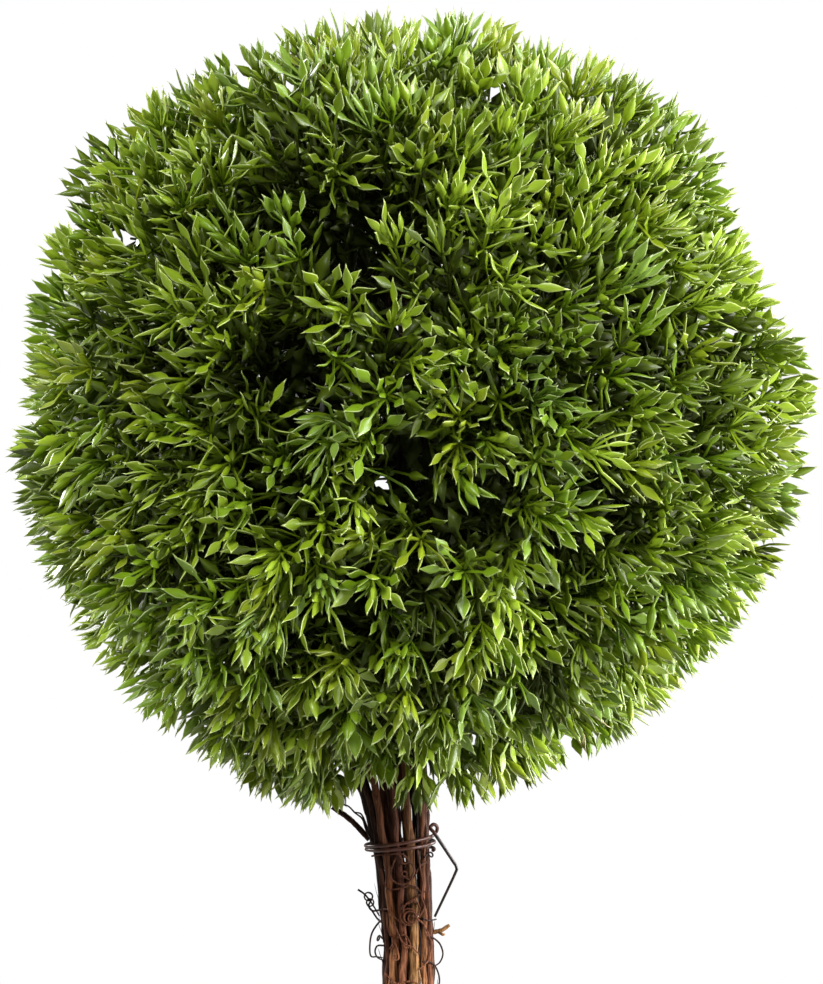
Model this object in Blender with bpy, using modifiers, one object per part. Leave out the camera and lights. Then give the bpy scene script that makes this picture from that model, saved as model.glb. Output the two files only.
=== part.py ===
"""Artificial boxwood ball topiary in a plain clay pot.

A clipped ball of moulded green sprays stands on a trunk of bundled vines. Wire ties the vines under the
ball and above the pot, and a few dry tendrils stand off the trunk. Metres, +Z up. The origin is the centre
of the pot's flat underside, and the front is -Y.
"""

import math
import random
from collections import namedtuple

import bmesh
import bpy
from mathutils import Matrix, Vector

GAP = 0.0003  # between pieces that touch on the real object

# Pot
POT_HEIGHT = 0.150
POT_FOOT_RADIUS = 0.059
POT_MOUTH_RADIUS = 0.076  # outside of the wall where the rim band would end
POT_WALL = 0.0065
POT_FLOOR = 0.009
RIM_HEIGHT = 0.034
RIM_PROUD = 0.0065
LIP_ROUND = 0.0025
POT_STEPS = 40

# Soil in the pot
SOIL_TOP = POT_HEIGHT - 0.020
SOIL_FLAT_RADIUS = 0.030
SOIL_FALL = 0.004  # from the middle to the wall

# Crown
CROWN_CENTRE = Vector((-0.001, 0.0, 0.525))
CROWN_RADIUS = 0.167  # to the leaf tips
SWELLS = (  # each a share of the radius, its waves along X, Y and Z, and where they start
    (0.011, (3.1, 0.0, 2.3), 0.4),
    (0.010, (-4.1, 5.3, 0.0), 1.7),
    (0.010, (0.0, 3.7, 6.1), 2.9),
)
SWELL_SLANT = 0.005  # share of the radius by which the lower left is fuller
CORE_RADIUS = 0.140
CORE_FLAT = 0.97  # share of the core's radius where its underside is cut flat for the vines
CROWN_SEED = 7
SPRAY_COUNT = 76
SKIRT_COUNT = 7
SKIRT_ANGLE = math.radians(17)  # from straight down to the ring of sprays round the trunk
SKIRT_ROOM = 1.4  # the other sprays keep this many times that angle from straight down
SKIRT_SHIFT = 0.15  # share of the skirt's spacing by which each of its sprays is moved at random
SPRAY_SHIFT = 0.3  # the same for the other sprays
SIDE_LEAVES = 4
LEAF_LENGTH = 0.038
LEAF_WIDTH = 0.0165
LEAF_THICK = 0.0022
LEAF_WIDEST = 0.60  # share of the leaf's length
LEAF_SIZES = (0.9, 1.1)  # shortest and longest as shares of the leaf's length
LEAF_SHIFT = 0.2  # share of the spacing round the twig by which a leaf is moved at random
LEAF_SPREAD = math.radians(42)
SPREAD_SHARES = (0.75, 1.25)  # least and most of it
LEAF_ROLL = 0.35
LEAF_SUNK = 0.002  # from the twig's tip to the root of the leaf on it
TIP_LEAF = 0.024
GOLDEN_ANGLE = math.pi * (3 - math.sqrt(5))
TWIG_RADIUS = 0.0012
TWIG_LEAN = 0.025  # how far its root is moved aside at random, as a share of the distance to the centre
TWIG_THINNING = 0.6  # its tip's radius as a share of its foot's
ROOT_DEPTH = 0.008  # from the core's surface to a twig's or leaf's root
ROOT_SPACING = 0.009  # from a twig's root to the roots of the leaves round it
ROOT_SHARES = (0.7, 1.3)  # least and most of it
CORE_DIVISIONS = 3
CORE_RIPPLE = 0.02  # share of the core's radius by which its points stand out or in
LIMB_ROOM = 0.0045  # from a leaf's or twig's line to the side of a vine
LIMB_KNOTS = 16
PROBES = 8  # steps in which a leaf's line is tested against the vines

# Vines of the trunk
WAIST_RADIUS = 0.0108
WAIST_HEIGHT = 0.302
BASE_FLARE = 0.30  # how much wider than the waist the bundle is at the soil
FAN_SPREAD = 0.60  # and at the core
FAN_CURVE = 1.5
TRUNK_TWIST = math.radians(38)
TRUNK_LEAN = -0.0085  # along X, from the waist to the core
LEAN_CURVE = 1.15
OUTER_RADII_MM = (2.0, 1.7, 2.1, 1.3, 1.8, 2.1, 1.2, 1.9, 1.6, 2.1, 1.4, 1.9, 1.7)
INNER_RING_RADIUS = 0.0042
INNER_RING_COUNT = 5
INNER_VINE_RADIUS = 0.0018
INNER_FAN = 0.4  # share of the bundle's fan that the inner vines join in
FAN_SHARES = (0.6, 1.4)  # least and most share of it for the outer vines
VINE_TAPER = 0.20
VINE_RINGS = 10
TIP_ROOM = 0.5  # share of its radius that a leaning vine's tip stays under the core
VINE_FOOT = 0.004  # upright stretch at the soil
VINE_SEED = 3

# Ties
WIRE_RADIUS = 0.00075
TIE_TURNS = 2
TIE_STEPS = 20
TIE_PITCH = 0.0019
UPPER_TIE_HEIGHT = 0.342
UPPER_TIE_SLOPE = math.tan(math.radians(11.5))
UPPER_TIE_START = math.radians(-15)  # azimuth where its first turn starts
LOWER_TIE_HEIGHT = 0.172
LOWER_TIE_SLOPE = math.tan(math.radians(-6))
LOWER_TIE_START = math.radians(205)
TAIL_AZIMUTH = math.radians(-12)  # where the upper tie's tail ends beside the vines
TAIL_DROP = 0.021  # from the bend in that tail down to its end
TAIL_ROOM = 1.6  # times the wire's radius, kept between its end's middle and the vine

# Spurs and tendrils
SHOOT_RADIUS = 0.0012
STUB_RADIUS = 0.0010
STUB_THINNING = 0.7  # its tip's radius as a share of its foot's
TENDRIL_RADIUS = 0.0005
TENDRIL_THINNING = 0.7
FRONT_KNOTS = 10
FRONT_SWEEP = math.radians(150)
CURL_STEPS = 6  # points in one turn

CORE_PLANE = CROWN_CENTRE.z - CORE_RADIUS * CORE_FLAT
FIRST_RING = SOIL_TOP + GAP + VINE_FOOT
RING_STEP = (CORE_PLANE - FIRST_RING) / VINE_RINGS

# A vine's radius, its distance and angle from the bundle's middle, and its share of the fan at the top.
Vine = namedtuple("Vine", "radius distance angle fan")


def clear_scene():
    """Removes the objects that a new scene starts with."""
    for old in list(bpy.data.objects):
        bpy.data.objects.remove(old, do_unlink=True)


def collection(name):
    """A new collection in the scene."""
    made = bpy.data.collections.new(name)
    bpy.context.scene.collection.children.link(made)
    return made


def finish(name, colour, roughness, metallic=0.0):
    """A Principled material with one colour."""
    made = bpy.data.materials.new(name)
    made.use_nodes = True
    shader = made.node_tree.nodes["Principled BSDF"]
    shader.inputs["Base Color"].default_value = (*colour, 1.0)
    shader.inputs["Roughness"].default_value = roughness
    shader.inputs["Metallic"].default_value = metallic
    return made


def place(name, data, surface, group):
    """An object made from mesh or curve data, in a collection, with its material."""
    made = bpy.data.objects.new(name, data)
    if surface:
        data.materials.append(surface)
    group.objects.link(made)
    return made


def apply_modifiers(made):
    """Gives an object the mesh that its modifiers make of it, and takes them off."""
    bpy.context.view_layer.update()
    result = bpy.data.meshes.new_from_object(made.evaluated_get(bpy.context.evaluated_depsgraph_get()))
    made.modifiers.clear()
    made.data = result


def turned(name, profile, surface, group):
    """A solid turned about Z. The profile is (radius, height) pairs from the axis, outwards and down."""
    data = bpy.data.meshes.new(name)
    points = [(radius, 0.0, height) for radius, height in profile]
    data.from_pydata(points, [(i, i + 1) for i in range(len(points) - 1)], [])
    made = place(name, data, surface, group)
    screw = made.modifiers.new("turn", "SCREW")
    screw.steps = screw.render_steps = POT_STEPS
    screw.use_merge_vertices = True
    screw.merge_threshold = 0.00005
    apply_modifiers(made)
    made.data.shade_smooth()
    made.data.set_sharp_from_angle(angle=math.radians(35))


def tube(name, points, radii, surface, group, roundness=2):
    """A capped tube along a line of points, with a radius at each."""
    data = bpy.data.curves.new(name, "CURVE")
    data.dimensions = "3D"
    data.bevel_depth = 1.0
    data.bevel_resolution = roundness
    data.use_fill_caps = True
    line = data.splines.new("POLY")
    line.points.add(len(points) - 1)
    for knot, where, radius in zip(line.points, points, radii):
        knot.co = (*where, 1.0)
        knot.radius = radius
    return place(name, data, surface, group)


def smooth_line(knots, steps):
    """Points on a smooth curve through the knots, with that many steps between each two."""
    padded = [knots[0] * 2 - knots[1], *knots, knots[-1] * 2 - knots[-2]]
    points = []
    for before, start, end, after in zip(padded, padded[1:], padded[2:], padded[3:]):
        for i in range(steps):
            t = i / steps
            points.append(
                0.5
                * (
                    2 * start
                    + (end - before) * t
                    + (2 * before - 5 * start + 4 * end - after) * t**2
                    + (3 * start - before - 3 * end + after) * t**3
                )
            )
    return [*points, knots[-1].copy()]


def pot_wall_radius(height):
    """Outside radius of the pot's wall at a height, without its rim band."""
    return POT_FOOT_RADIUS + (POT_MOUTH_RADIUS - POT_FOOT_RADIUS) * height / POT_HEIGHT


def pot(surface, group):
    """A tapered clay pot with a rim band, turned in one piece."""
    band_foot = POT_HEIGHT - RIM_HEIGHT
    band_radius = pot_wall_radius(POT_HEIGHT) + RIM_PROUD
    profile = [
        (0.0, POT_FLOOR),
        (pot_wall_radius(POT_FLOOR) - POT_WALL, POT_FLOOR),
        (pot_wall_radius(POT_HEIGHT) - POT_WALL, POT_HEIGHT - LIP_ROUND),
        (pot_wall_radius(POT_HEIGHT) - POT_WALL + LIP_ROUND, POT_HEIGHT),
        (band_radius - LIP_ROUND, POT_HEIGHT),
        (band_radius, POT_HEIGHT - LIP_ROUND),
        (band_radius - LIP_ROUND / 2, band_foot + LIP_ROUND),
        (band_radius - LIP_ROUND, band_foot),
        (pot_wall_radius(band_foot), band_foot - LIP_ROUND),
        (pot_wall_radius(LIP_ROUND), LIP_ROUND),
        (POT_FOOT_RADIUS - LIP_ROUND, 0.0),
        (0.0, 0.0),
    ]
    turned("pot", profile, surface, group)


def soil(surface, group):
    """The filling of the pot, flat under the trunk and lower at the wall."""

    def inside(height):
        return pot_wall_radius(height) - POT_WALL - GAP

    edge = SOIL_TOP - SOIL_FALL
    profile = [
        (0.0, SOIL_TOP),
        (SOIL_FLAT_RADIUS, SOIL_TOP),
        (inside(edge), edge),
        (inside(POT_FLOOR), POT_FLOOR + GAP),
        (0.0, POT_FLOOR + GAP),
    ]
    turned("soil", profile, surface, group)


def above_waist(height):
    """How far a height is from the waist up to the core, as a share. It is 0 below the waist."""
    return max(0.0, (height - WAIST_HEIGHT) / (CORE_PLANE - WAIST_HEIGHT))


def trunk_line(height):
    """The middle of the bundle at a height: upright to the waist, and leaning to the left above it."""
    return Vector((TRUNK_LEAN * above_waist(height) ** LEAN_CURVE, 0.0, height))


def spread(height):
    """How wide the bundle stands at a height, as a share of its waist."""
    below = max(0.0, (WAIST_HEIGHT - height) / (WAIST_HEIGHT - SOIL_TOP))
    return 1 + BASE_FLARE * below + FAN_SPREAD * above_waist(height) ** FAN_CURVE


def vine_places():
    """The vines of the bundle, one in the middle, a ring round it and the outer ring."""
    rng = random.Random(VINE_SEED)
    places = [Vine(INNER_VINE_RADIUS, 0.0, 0.0, INNER_FAN)]
    for i in range(INNER_RING_COUNT):
        places.append(Vine(INNER_VINE_RADIUS, INNER_RING_RADIUS, math.tau * i / INNER_RING_COUNT, INNER_FAN))
    radii = [size / 1000 for size in OUTER_RADII_MM]
    widths = [2 * math.asin(radius / (WAIST_RADIUS - radius)) for radius in radii]
    room = (math.tau - sum(widths)) / len(radii)
    angle = 0.0
    for radius, width in zip(radii, widths):
        angle += width / 2
        places.append(Vine(radius, WAIST_RADIUS - radius, angle, rng.uniform(*FAN_SHARES)))
        angle += width / 2 + room
    return places


def vine_radius(vine, height):
    """A vine's radius at a height: it thins towards its tip."""
    return vine.radius * (1 - VINE_TAPER * (height - SOIL_TOP) / (CORE_PLANE - SOIL_TOP))


def vine_curve(vine, height):
    """The point at a height on the curve that a vine's rings lie on."""
    turn = vine.angle + TRUNK_TWIST * (height - SOIL_TOP) / (CORE_PLANE - SOIL_TOP)
    out = vine.distance * (1 + (spread(height) - 1) * vine.fan)
    return trunk_line(height) + Vector((out * math.cos(turn), out * math.sin(turn), 0.0))


def vine_point(vine, height):
    """The middle of a vine at a height, where its tube runs straight from ring to ring."""
    place_in_rings = (height - FIRST_RING) / RING_STEP
    ring = min(max(math.floor(place_in_rings), 0), VINE_RINGS - 1)
    below, above = (vine_curve(vine, FIRST_RING + RING_STEP * i) for i in (ring, ring + 1))
    return below.lerp(above, max(0.0, place_in_rings - ring))


def vine_line(vine):
    """A vine as (points, radii), from its flat foot on the soil to its tip under the core."""
    heights = [SOIL_TOP + GAP, *(FIRST_RING + RING_STEP * i for i in range(VINE_RINGS))]
    heights.append(CORE_PLANE - GAP - vine.radius * TIP_ROOM)
    points = [vine_point(vine, height) for height in heights]
    points[0].z = heights[0]
    return points, [vine_radius(vine, height) for height in heights]


def make_vines(vines, surface, group):
    """The trunk: one tapering tube for each vine."""
    for i, vine in enumerate(vines, 1):
        roundness = 2 if vine.distance > INNER_RING_RADIUS else 1
        tube(f"vine_{i:02d}", *vine_line(vine), surface, group, roundness)


def bundle_reach(vines, height):
    """Distance from the bundle's middle to its outside at a height."""
    line = trunk_line(height)
    return max((vine_point(vine, height) - line).length + vine_radius(vine, height) for vine in vines)


def seat(vines, azimuth, height, radius):
    """Where a tendril or spur of that radius leaves the trunk: beside the outer vine nearest an azimuth."""
    line = trunk_line(height)
    bearing = Vector((math.cos(azimuth), math.sin(azimuth), 0.0))
    outer = vines[INNER_RING_COUNT + 1 :]
    nearest = max(outer, key=lambda vine: (vine_point(vine, height) - line).dot(bearing))
    middle = vine_point(nearest, height)
    return middle + (middle - line).normalized() * (vine_radius(nearest, height) + radius + GAP)


def tie_turns(vines, height, slope, first):
    """The turns of a tie from an azimuth: they slope with X and climb by the pitch each turn."""
    points = []
    for i in range(TIE_STEPS * TIE_TURNS + 1):
        angle = first + math.tau * i / TIE_STEPS
        climb = TIE_PITCH * (i / TIE_STEPS - TIE_TURNS / 2)
        middle = trunk_line(height + WAIST_RADIUS * math.cos(angle) * slope + climb)
        reach = bundle_reach(vines, middle.z + WIRE_RADIUS) + WIRE_RADIUS + GAP
        points.append(middle + Vector((reach * math.cos(angle), reach * math.sin(angle), 0.0)))
    return points


def mm(*step):
    """A step along X, Y and Z in millimetres, as a vector in metres."""
    return Vector(step) / 1000


def wire(name, points, surface, group):
    """A length of tie wire."""
    tube(name, points, [WIRE_RADIUS] * len(points), surface, group, 1)


def upper_tie(vines, surface, group):
    """Two turns of wire under the crown, whose end makes a small loop and a long bent tail on the right."""
    turns = tie_turns(vines, UPPER_TIE_HEIGHT, UPPER_TIE_SLOPE, UPPER_TIE_START)
    end = turns[-1]
    loop = [end + mm(1.5, 2.5, 3), end + mm(2, 0.5, 6), end + mm(2.5, -2, 4)]
    corner = end + mm(9.5, -2, -12.5)
    foot = seat(vines, TAIL_AZIMUTH, corner.z - TAIL_DROP, WIRE_RADIUS * TAIL_ROOM)
    knots = [end, *loop, end + mm(1, -2, 0), corner, corner + mm(0, 0, -2), foot]
    wire("tie_upper", turns + smooth_line(knots, 3)[1:], surface, group)


def lower_tie(vines, surface, group):
    """Two turns of wire above the pot, with a short end that stands up beside the vines."""
    turns = tie_turns(vines, LOWER_TIE_HEIGHT, LOWER_TIE_SLOPE, LOWER_TIE_START)
    end = turns[-1]
    wire("tie_lower", [*turns, end + mm(-1.2, -0.8, 2), end + mm(-2, -1.5, 6)], surface, group)


def limb(name, knots, thick, thin, surface, group, roundness=0):
    """A spur or tendril through its knots, thinner towards its tip."""
    points = smooth_line(knots, 2)
    last = len(points) - 1
    radii = [thick + (thin - thick) * i / last for i in range(last + 1)]
    tube(name, points, radii, surface, group, roundness)


def curl(start, across, along, radius, turns, step):
    """Points of a coil that grows from start, with its turns in the plane of across and up, moving along."""
    up = Vector((0.0, 0.0, 1.0))
    middle = start + across * radius
    points = []
    for i in range(1, round(CURL_STEPS * turns) + 1):
        angle = math.tau * i / CURL_STEPS
        round_it = across * (-math.cos(angle)) + up * math.sin(angle)
        points.append(middle + round_it * radius + along * (step * i / CURL_STEPS))
    return points


def spurs(vines, surface, group):
    """The cut end of a side shoot at the upper left, and a broken stub on the right."""
    shoot = seat(vines, math.pi, 0.345, SHOOT_RADIUS)
    cut = shoot + mm(-14.5, 1, 12.5)
    bend = (shoot + cut) / 2 + mm(0.5, 0, 0.8)
    limb("spur_left", [shoot, bend, cut], SHOOT_RADIUS, SHOOT_RADIUS * 0.9, surface, group, 1)
    stub = seat(vines, 0.0, 0.3065, STUB_RADIUS)
    knots = [stub, stub + mm(5.5, -1, 2.5)]
    limb("spur_right", knots, STUB_RADIUS, STUB_RADIUS * STUB_THINNING, surface, group, 1)


def side_tendrils(vines, surface, group):
    """Dry tendrils that stand off the sides of the trunk."""
    left, right = math.pi, 0.0
    thick, thin = TENDRIL_RADIUS, TENDRIL_RADIUS * TENDRIL_THINNING
    out, back = Vector((-1.0, 0.0, 0.0)), Vector((0.0, 1.0, 0.0))

    foot = seat(vines, left, 0.3115, thick)
    knots = [foot, foot + mm(-3, -1, 3), foot + mm(-5.5, -1, 6.5)]
    knots += curl(knots[-1], out, -back, 0.0014, 1.6, 0.0016)
    knots.append(knots[-1] + mm(-2, -1, 3.5))
    limb("tendril_left_curl", knots, thick, thin, surface, group)

    top, foot = seat(vines, left, 0.309, thick), seat(vines, left, 0.2955, thick)
    knots = [top, top + mm(-3.5, 0, -5), foot + mm(-3.5, 0, 2), foot + mm(-3, 0, 0), foot]
    limb("tendril_left_bow", knots, thick, thin, surface, group)

    top, foot = seat(vines, right, 0.3045, thick), seat(vines, right, 0.2925, thick)
    knots = [top, top + mm(3, 0, -4), foot + mm(3, 0, 4), foot]
    limb("tendril_right_bow", knots, thick, thin, surface, group)

    foot = seat(vines, math.radians(145), 0.349, thick)
    knots = [foot, foot + mm(-2.5, 0, 3)]
    knots += curl(knots[-1], out, back, 0.0022, 1.0, 0.0012)
    knots += [knots[-1] + mm(-4, 1, 5.5), knots[-1] + mm(-8.5, 1, 7)]
    limb("tendril_top_left", knots, thick, thin, surface, group)


def front_tendril(name, vines, low, high, surface, group):
    """A tendril that winds over the front of the bundle, from the left at a low height to a high one."""
    knots = []
    for i in range(FRONT_KNOTS):
        share = i / (FRONT_KNOTS - 1)
        azimuth = -math.pi / 2 + (share - 0.5) * FRONT_SWEEP
        height = low + (high - low) * (0.5 - 0.5 * math.cos(math.pi * share))
        bearing = Vector((math.cos(azimuth), math.sin(azimuth), 0.0))
        knots.append(trunk_line(height) + bearing * (bundle_reach(vines, height) + TENDRIL_RADIUS + GAP))
    limb(name, knots, TENDRIL_RADIUS, TENDRIL_RADIUS * TENDRIL_THINNING, surface, group)


def crown_reach(direction):
    """Distance from the crown's centre to its leaf tips: a ball with low swells, fullest at lower left."""
    swell = sum(size * math.sin(direction.dot(waves) + start) for size, waves, start in SWELLS)
    swell -= SWELL_SLANT * (direction.x + direction.z)
    return CROWN_RADIUS * (1 + swell)


def core_reach(direction):
    """Distance from the crown's centre to the surface of its core, with its ripple left out."""
    ball = crown_reach(direction) * CORE_RADIUS / CROWN_RADIUS
    if direction.z >= 0:
        return ball
    return min(ball, (CORE_PLANE - CROWN_CENTRE.z) / direction.z)


def root_under(direction):
    """The point under the core's surface, in a direction from its centre, where a twig or leaf is rooted."""
    return CROWN_CENTRE + direction * (core_reach(direction) - ROOT_DEPTH)


def spray_directions(rng):
    """Directions of the sprays: even over the ball by the golden angle, and a ring round the trunk."""
    step = math.sqrt(4 * math.pi / SPRAY_COUNT)
    for i in range(SPRAY_COUNT):
        z = 1 - 2 * (i + 0.5) / SPRAY_COUNT
        flat = math.sqrt(1 - z * z)
        even = Vector((flat * math.cos(GOLDEN_ANGLE * i), flat * math.sin(GOLDEN_ANGLE * i), z))
        shift = Vector([rng.uniform(-SPRAY_SHIFT, SPRAY_SHIFT) * step for _ in range(3)])
        if z > -math.cos(SKIRT_ANGLE * SKIRT_ROOM):
            yield (even + shift).normalized()
    for i in range(SKIRT_COUNT):
        azimuth = math.tau * (i + rng.uniform(-SKIRT_SHIFT, SKIRT_SHIFT)) / SKIRT_COUNT
        flat = math.sin(SKIRT_ANGLE)
        yield Vector((flat * math.cos(azimuth), flat * math.sin(azimuth), -math.cos(SKIRT_ANGLE)))


def clear_of_limbs(start, end, limbs):
    """True where the line from start to end keeps its distance from every vine."""
    for i in range(PROBES + 1):
        where = start.lerp(end, i / PROBES)
        if any((where - knot).length < LIMB_ROOM + radius for knot, radius in limbs):
            return False
    return True


def aim(start, along, facing, length, width, thick):
    """The matrix that lays a unit shape along +Z on a line from start, with its flat side towards facing."""
    across = facing.cross(along).normalized()
    turn = Matrix((across, along.cross(across), along)).transposed().to_4x4()
    return Matrix.Translation(start) @ turn @ Matrix.Diagonal((width, thick, length, 1.0))


def leaf_shape():
    """A unit leaf along +Z: a thin blade of eight faces, widest beyond its middle, with a pointed tip."""
    shape = bmesh.new()
    bmesh.ops.create_uvsphere(shape, u_segments=4, v_segments=2, radius=0.5)
    for point in shape.verts:
        point.co.z = LEAF_WIDEST if abs(point.co.z) < 0.25 else point.co.z + 0.5
    data = bpy.data.meshes.new("leaf")
    shape.to_mesh(data)
    shape.free()
    return data


def twig_shape():
    """A unit twig along +Z with three sides, thinner at its tip."""
    shape = bmesh.new()
    bmesh.ops.create_cone(shape, cap_ends=True, segments=3, radius1=1.0, radius2=TWIG_THINNING, depth=1.0)
    bmesh.ops.translate(shape, verts=shape.verts, vec=(0.0, 0.0, 0.5))
    data = bpy.data.meshes.new("twig")
    shape.to_mesh(data)
    shape.free()
    return data


def spray_lines(direction, rng):
    """A spray as a twig and its leaves: one grows on from the twig's tip, the rest lean out from its foot.

    The twig is (start, along, length), and a leaf is (start, along, facing, length).
    """
    tip = CROWN_CENTRE + direction * (crown_reach(direction) - TIP_LEAF)
    lean = Vector([rng.uniform(-TWIG_LEAN, TWIG_LEAN) for _ in range(3)])
    root = root_under((direction + lean).normalized())
    along = (tip - root).normalized()
    first = Matrix.Rotation(rng.uniform(0, math.tau), 3, along) @ along.orthogonal().normalized()
    leaves = [(tip - along * LEAF_SUNK, along, first, TIP_LEAF + LEAF_SUNK)]
    for i in range(SIDE_LEAVES):
        turn = math.tau * (i + rng.uniform(-LEAF_SHIFT, LEAF_SHIFT)) / SIDE_LEAVES
        around = Matrix.Rotation(turn, 3, along) @ first
        tilt = LEAF_SPREAD * rng.uniform(*SPREAD_SHARES)
        outward = (along * math.cos(tilt) + around * math.sin(tilt)).normalized()
        facing = along + around.cross(along) * rng.uniform(-LEAF_ROLL, LEAF_ROLL)
        beside = root + around * ROOT_SPACING * rng.uniform(*ROOT_SHARES)
        start = root_under((beside - CROWN_CENTRE).normalized())
        leaves.append((start, outward, facing, LEAF_LENGTH * rng.uniform(*LEAF_SIZES)))
    return (root, along, (tip - root).length), leaves


def make_sprays(vines, group):
    """The crown's twigs and leaves as loose objects, without those that would come near a vine."""
    leaf_data, twig_data = leaf_shape(), twig_shape()
    rise = (CORE_PLANE - UPPER_TIE_HEIGHT) / LIMB_KNOTS
    heights = [UPPER_TIE_HEIGHT + rise * i for i in range(LIMB_KNOTS + 1)]
    limbs = [(vine_point(vine, height), vine_radius(vine, height)) for vine in vines for height in heights]
    rng = random.Random(CROWN_SEED)
    for direction in spray_directions(rng):
        (root, along, length), leaves = spray_lines(direction, rng)
        if not clear_of_limbs(root, root + along * length, limbs):
            continue
        twig = place("twig", twig_data, None, group)
        twig.matrix_world = aim(root, along, along.orthogonal(), length, TWIG_RADIUS, TWIG_RADIUS)
        for start, outward, facing, length in leaves:
            tip = start + outward * length
            beyond = (tip - CROWN_CENTRE).length - crown_reach((tip - CROWN_CENTRE).normalized())
            length -= max(0.0, beyond)
            if clear_of_limbs(start, start + outward * length, limbs):
                leaf = place("leaf", leaf_data, None, group)
                leaf.matrix_world = aim(start, outward, facing, length, LEAF_WIDTH, LEAF_THICK)


def crown(vines, surface, group):
    """The clipped ball: a core with its underside cut flat, and sprays of leaves that stand out of it."""
    parts = collection("crown sprays")
    make_sprays(vines, parts)
    core = core_shape(surface, group)
    union = core.modifiers.new("sprays", "BOOLEAN")
    union.operation = "UNION"
    union.operand_type = "COLLECTION"
    union.collection = parts
    union.solver = "MANIFOLD"
    apply_modifiers(core)
    for made in list(parts.objects):
        bpy.data.objects.remove(made, do_unlink=True)
    bpy.data.collections.remove(parts)


def core_shape(surface, group):
    """The smaller ball inside the crown: it swells with the crown, ripples, and is flat over the vines."""
    rng = random.Random(CROWN_SEED)
    shape = bmesh.new()
    bmesh.ops.create_icosphere(shape, subdivisions=CORE_DIVISIONS, radius=1.0)
    for point in shape.verts:
        direction = point.co.normalized()
        ripple = 1 + rng.uniform(-CORE_RIPPLE, CORE_RIPPLE)
        point.co = direction * CORE_RADIUS * ripple * crown_reach(direction) / CROWN_RADIUS
    bmesh.ops.translate(shape, verts=shape.verts, vec=CROWN_CENTRE)
    everything = [*shape.verts, *shape.edges, *shape.faces]
    cut = bmesh.ops.bisect_plane(
        shape, geom=everything, plane_co=(0, 0, CORE_PLANE), plane_no=(0, 0, -1), clear_outer=True
    )
    rim = [edge for edge in cut["geom_cut"] if isinstance(edge, bmesh.types.BMEdge)]
    bmesh.ops.contextual_create(shape, geom=rim)
    bmesh.ops.recalc_face_normals(shape, faces=shape.faces)
    data = bpy.data.meshes.new("crown")
    shape.to_mesh(data)
    shape.free()
    return place("crown", data, surface, group)


def main():
    """Builds the pot and soil, the trunk with its ties, and the crown."""
    clear_scene()
    group = collection("ball topiary")
    clay = finish("clay", (0.52, 0.25, 0.15), 0.85)
    earth = finish("soil", (0.07, 0.045, 0.03), 0.95)
    bark = finish("bark", (0.16, 0.075, 0.04), 0.8)
    steel = finish("wire", (0.13, 0.06, 0.045), 0.55)
    green = finish("leaf green", (0.13, 0.24, 0.03), 0.45)
    pot(clay, group)
    soil(earth, group)
    vines = vine_places()
    make_vines(vines, bark, group)
    upper_tie(vines, steel, group)
    lower_tie(vines, steel, group)
    spurs(vines, bark, group)
    side_tendrils(vines, bark, group)
    front_tendril("tendril_front_high", vines, 0.318, 0.329, bark, group)
    front_tendril("tendril_front_low", vines, 0.268, 0.285, bark, group)
    crown(vines, green, group)


main()
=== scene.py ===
"""Looks of an artificial boxwood ball topiary on a trunk of bundled vines, in a clay pot.

Metres, +Z up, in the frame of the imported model: the origin is the centre of the pot's flat underside, and
the front is -Y. The leaves, twigs and vines follow the rules of the model's source, carried finer.
"""

import logging
import math
import random
from abc import ABC, abstractmethod
from collections.abc import Callable, Iterator, Sequence
from dataclasses import dataclass, field, replace
from enum import Enum

import bmesh
import bpy
import numpy as np
from bpy.types import Material, Node, NodeSocket, NodeTree
from bpy.types import Object as Piece
from mathutils import Matrix, Vector
from mathutils.geometry import intersect_point_line


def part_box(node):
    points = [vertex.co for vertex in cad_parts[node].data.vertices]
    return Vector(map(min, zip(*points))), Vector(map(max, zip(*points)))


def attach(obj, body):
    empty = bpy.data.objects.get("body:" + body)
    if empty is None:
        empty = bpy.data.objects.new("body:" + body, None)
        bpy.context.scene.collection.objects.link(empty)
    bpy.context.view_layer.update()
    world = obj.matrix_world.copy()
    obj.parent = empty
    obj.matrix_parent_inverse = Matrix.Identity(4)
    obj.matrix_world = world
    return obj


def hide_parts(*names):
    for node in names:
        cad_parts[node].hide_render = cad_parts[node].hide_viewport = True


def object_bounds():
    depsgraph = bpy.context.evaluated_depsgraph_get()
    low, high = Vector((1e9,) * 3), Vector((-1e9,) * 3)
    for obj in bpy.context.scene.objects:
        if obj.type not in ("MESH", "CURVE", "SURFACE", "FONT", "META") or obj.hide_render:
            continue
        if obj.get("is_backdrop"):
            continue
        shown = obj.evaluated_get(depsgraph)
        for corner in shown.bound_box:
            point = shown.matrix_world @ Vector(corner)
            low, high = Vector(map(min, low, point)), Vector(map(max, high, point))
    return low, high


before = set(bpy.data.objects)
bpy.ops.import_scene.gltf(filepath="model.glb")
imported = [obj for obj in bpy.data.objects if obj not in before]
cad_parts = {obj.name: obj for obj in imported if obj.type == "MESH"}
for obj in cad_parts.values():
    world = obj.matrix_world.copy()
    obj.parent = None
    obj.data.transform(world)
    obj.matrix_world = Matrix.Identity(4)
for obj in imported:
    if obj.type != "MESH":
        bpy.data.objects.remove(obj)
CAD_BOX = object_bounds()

log = logging.getLogger("topiary")

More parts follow.
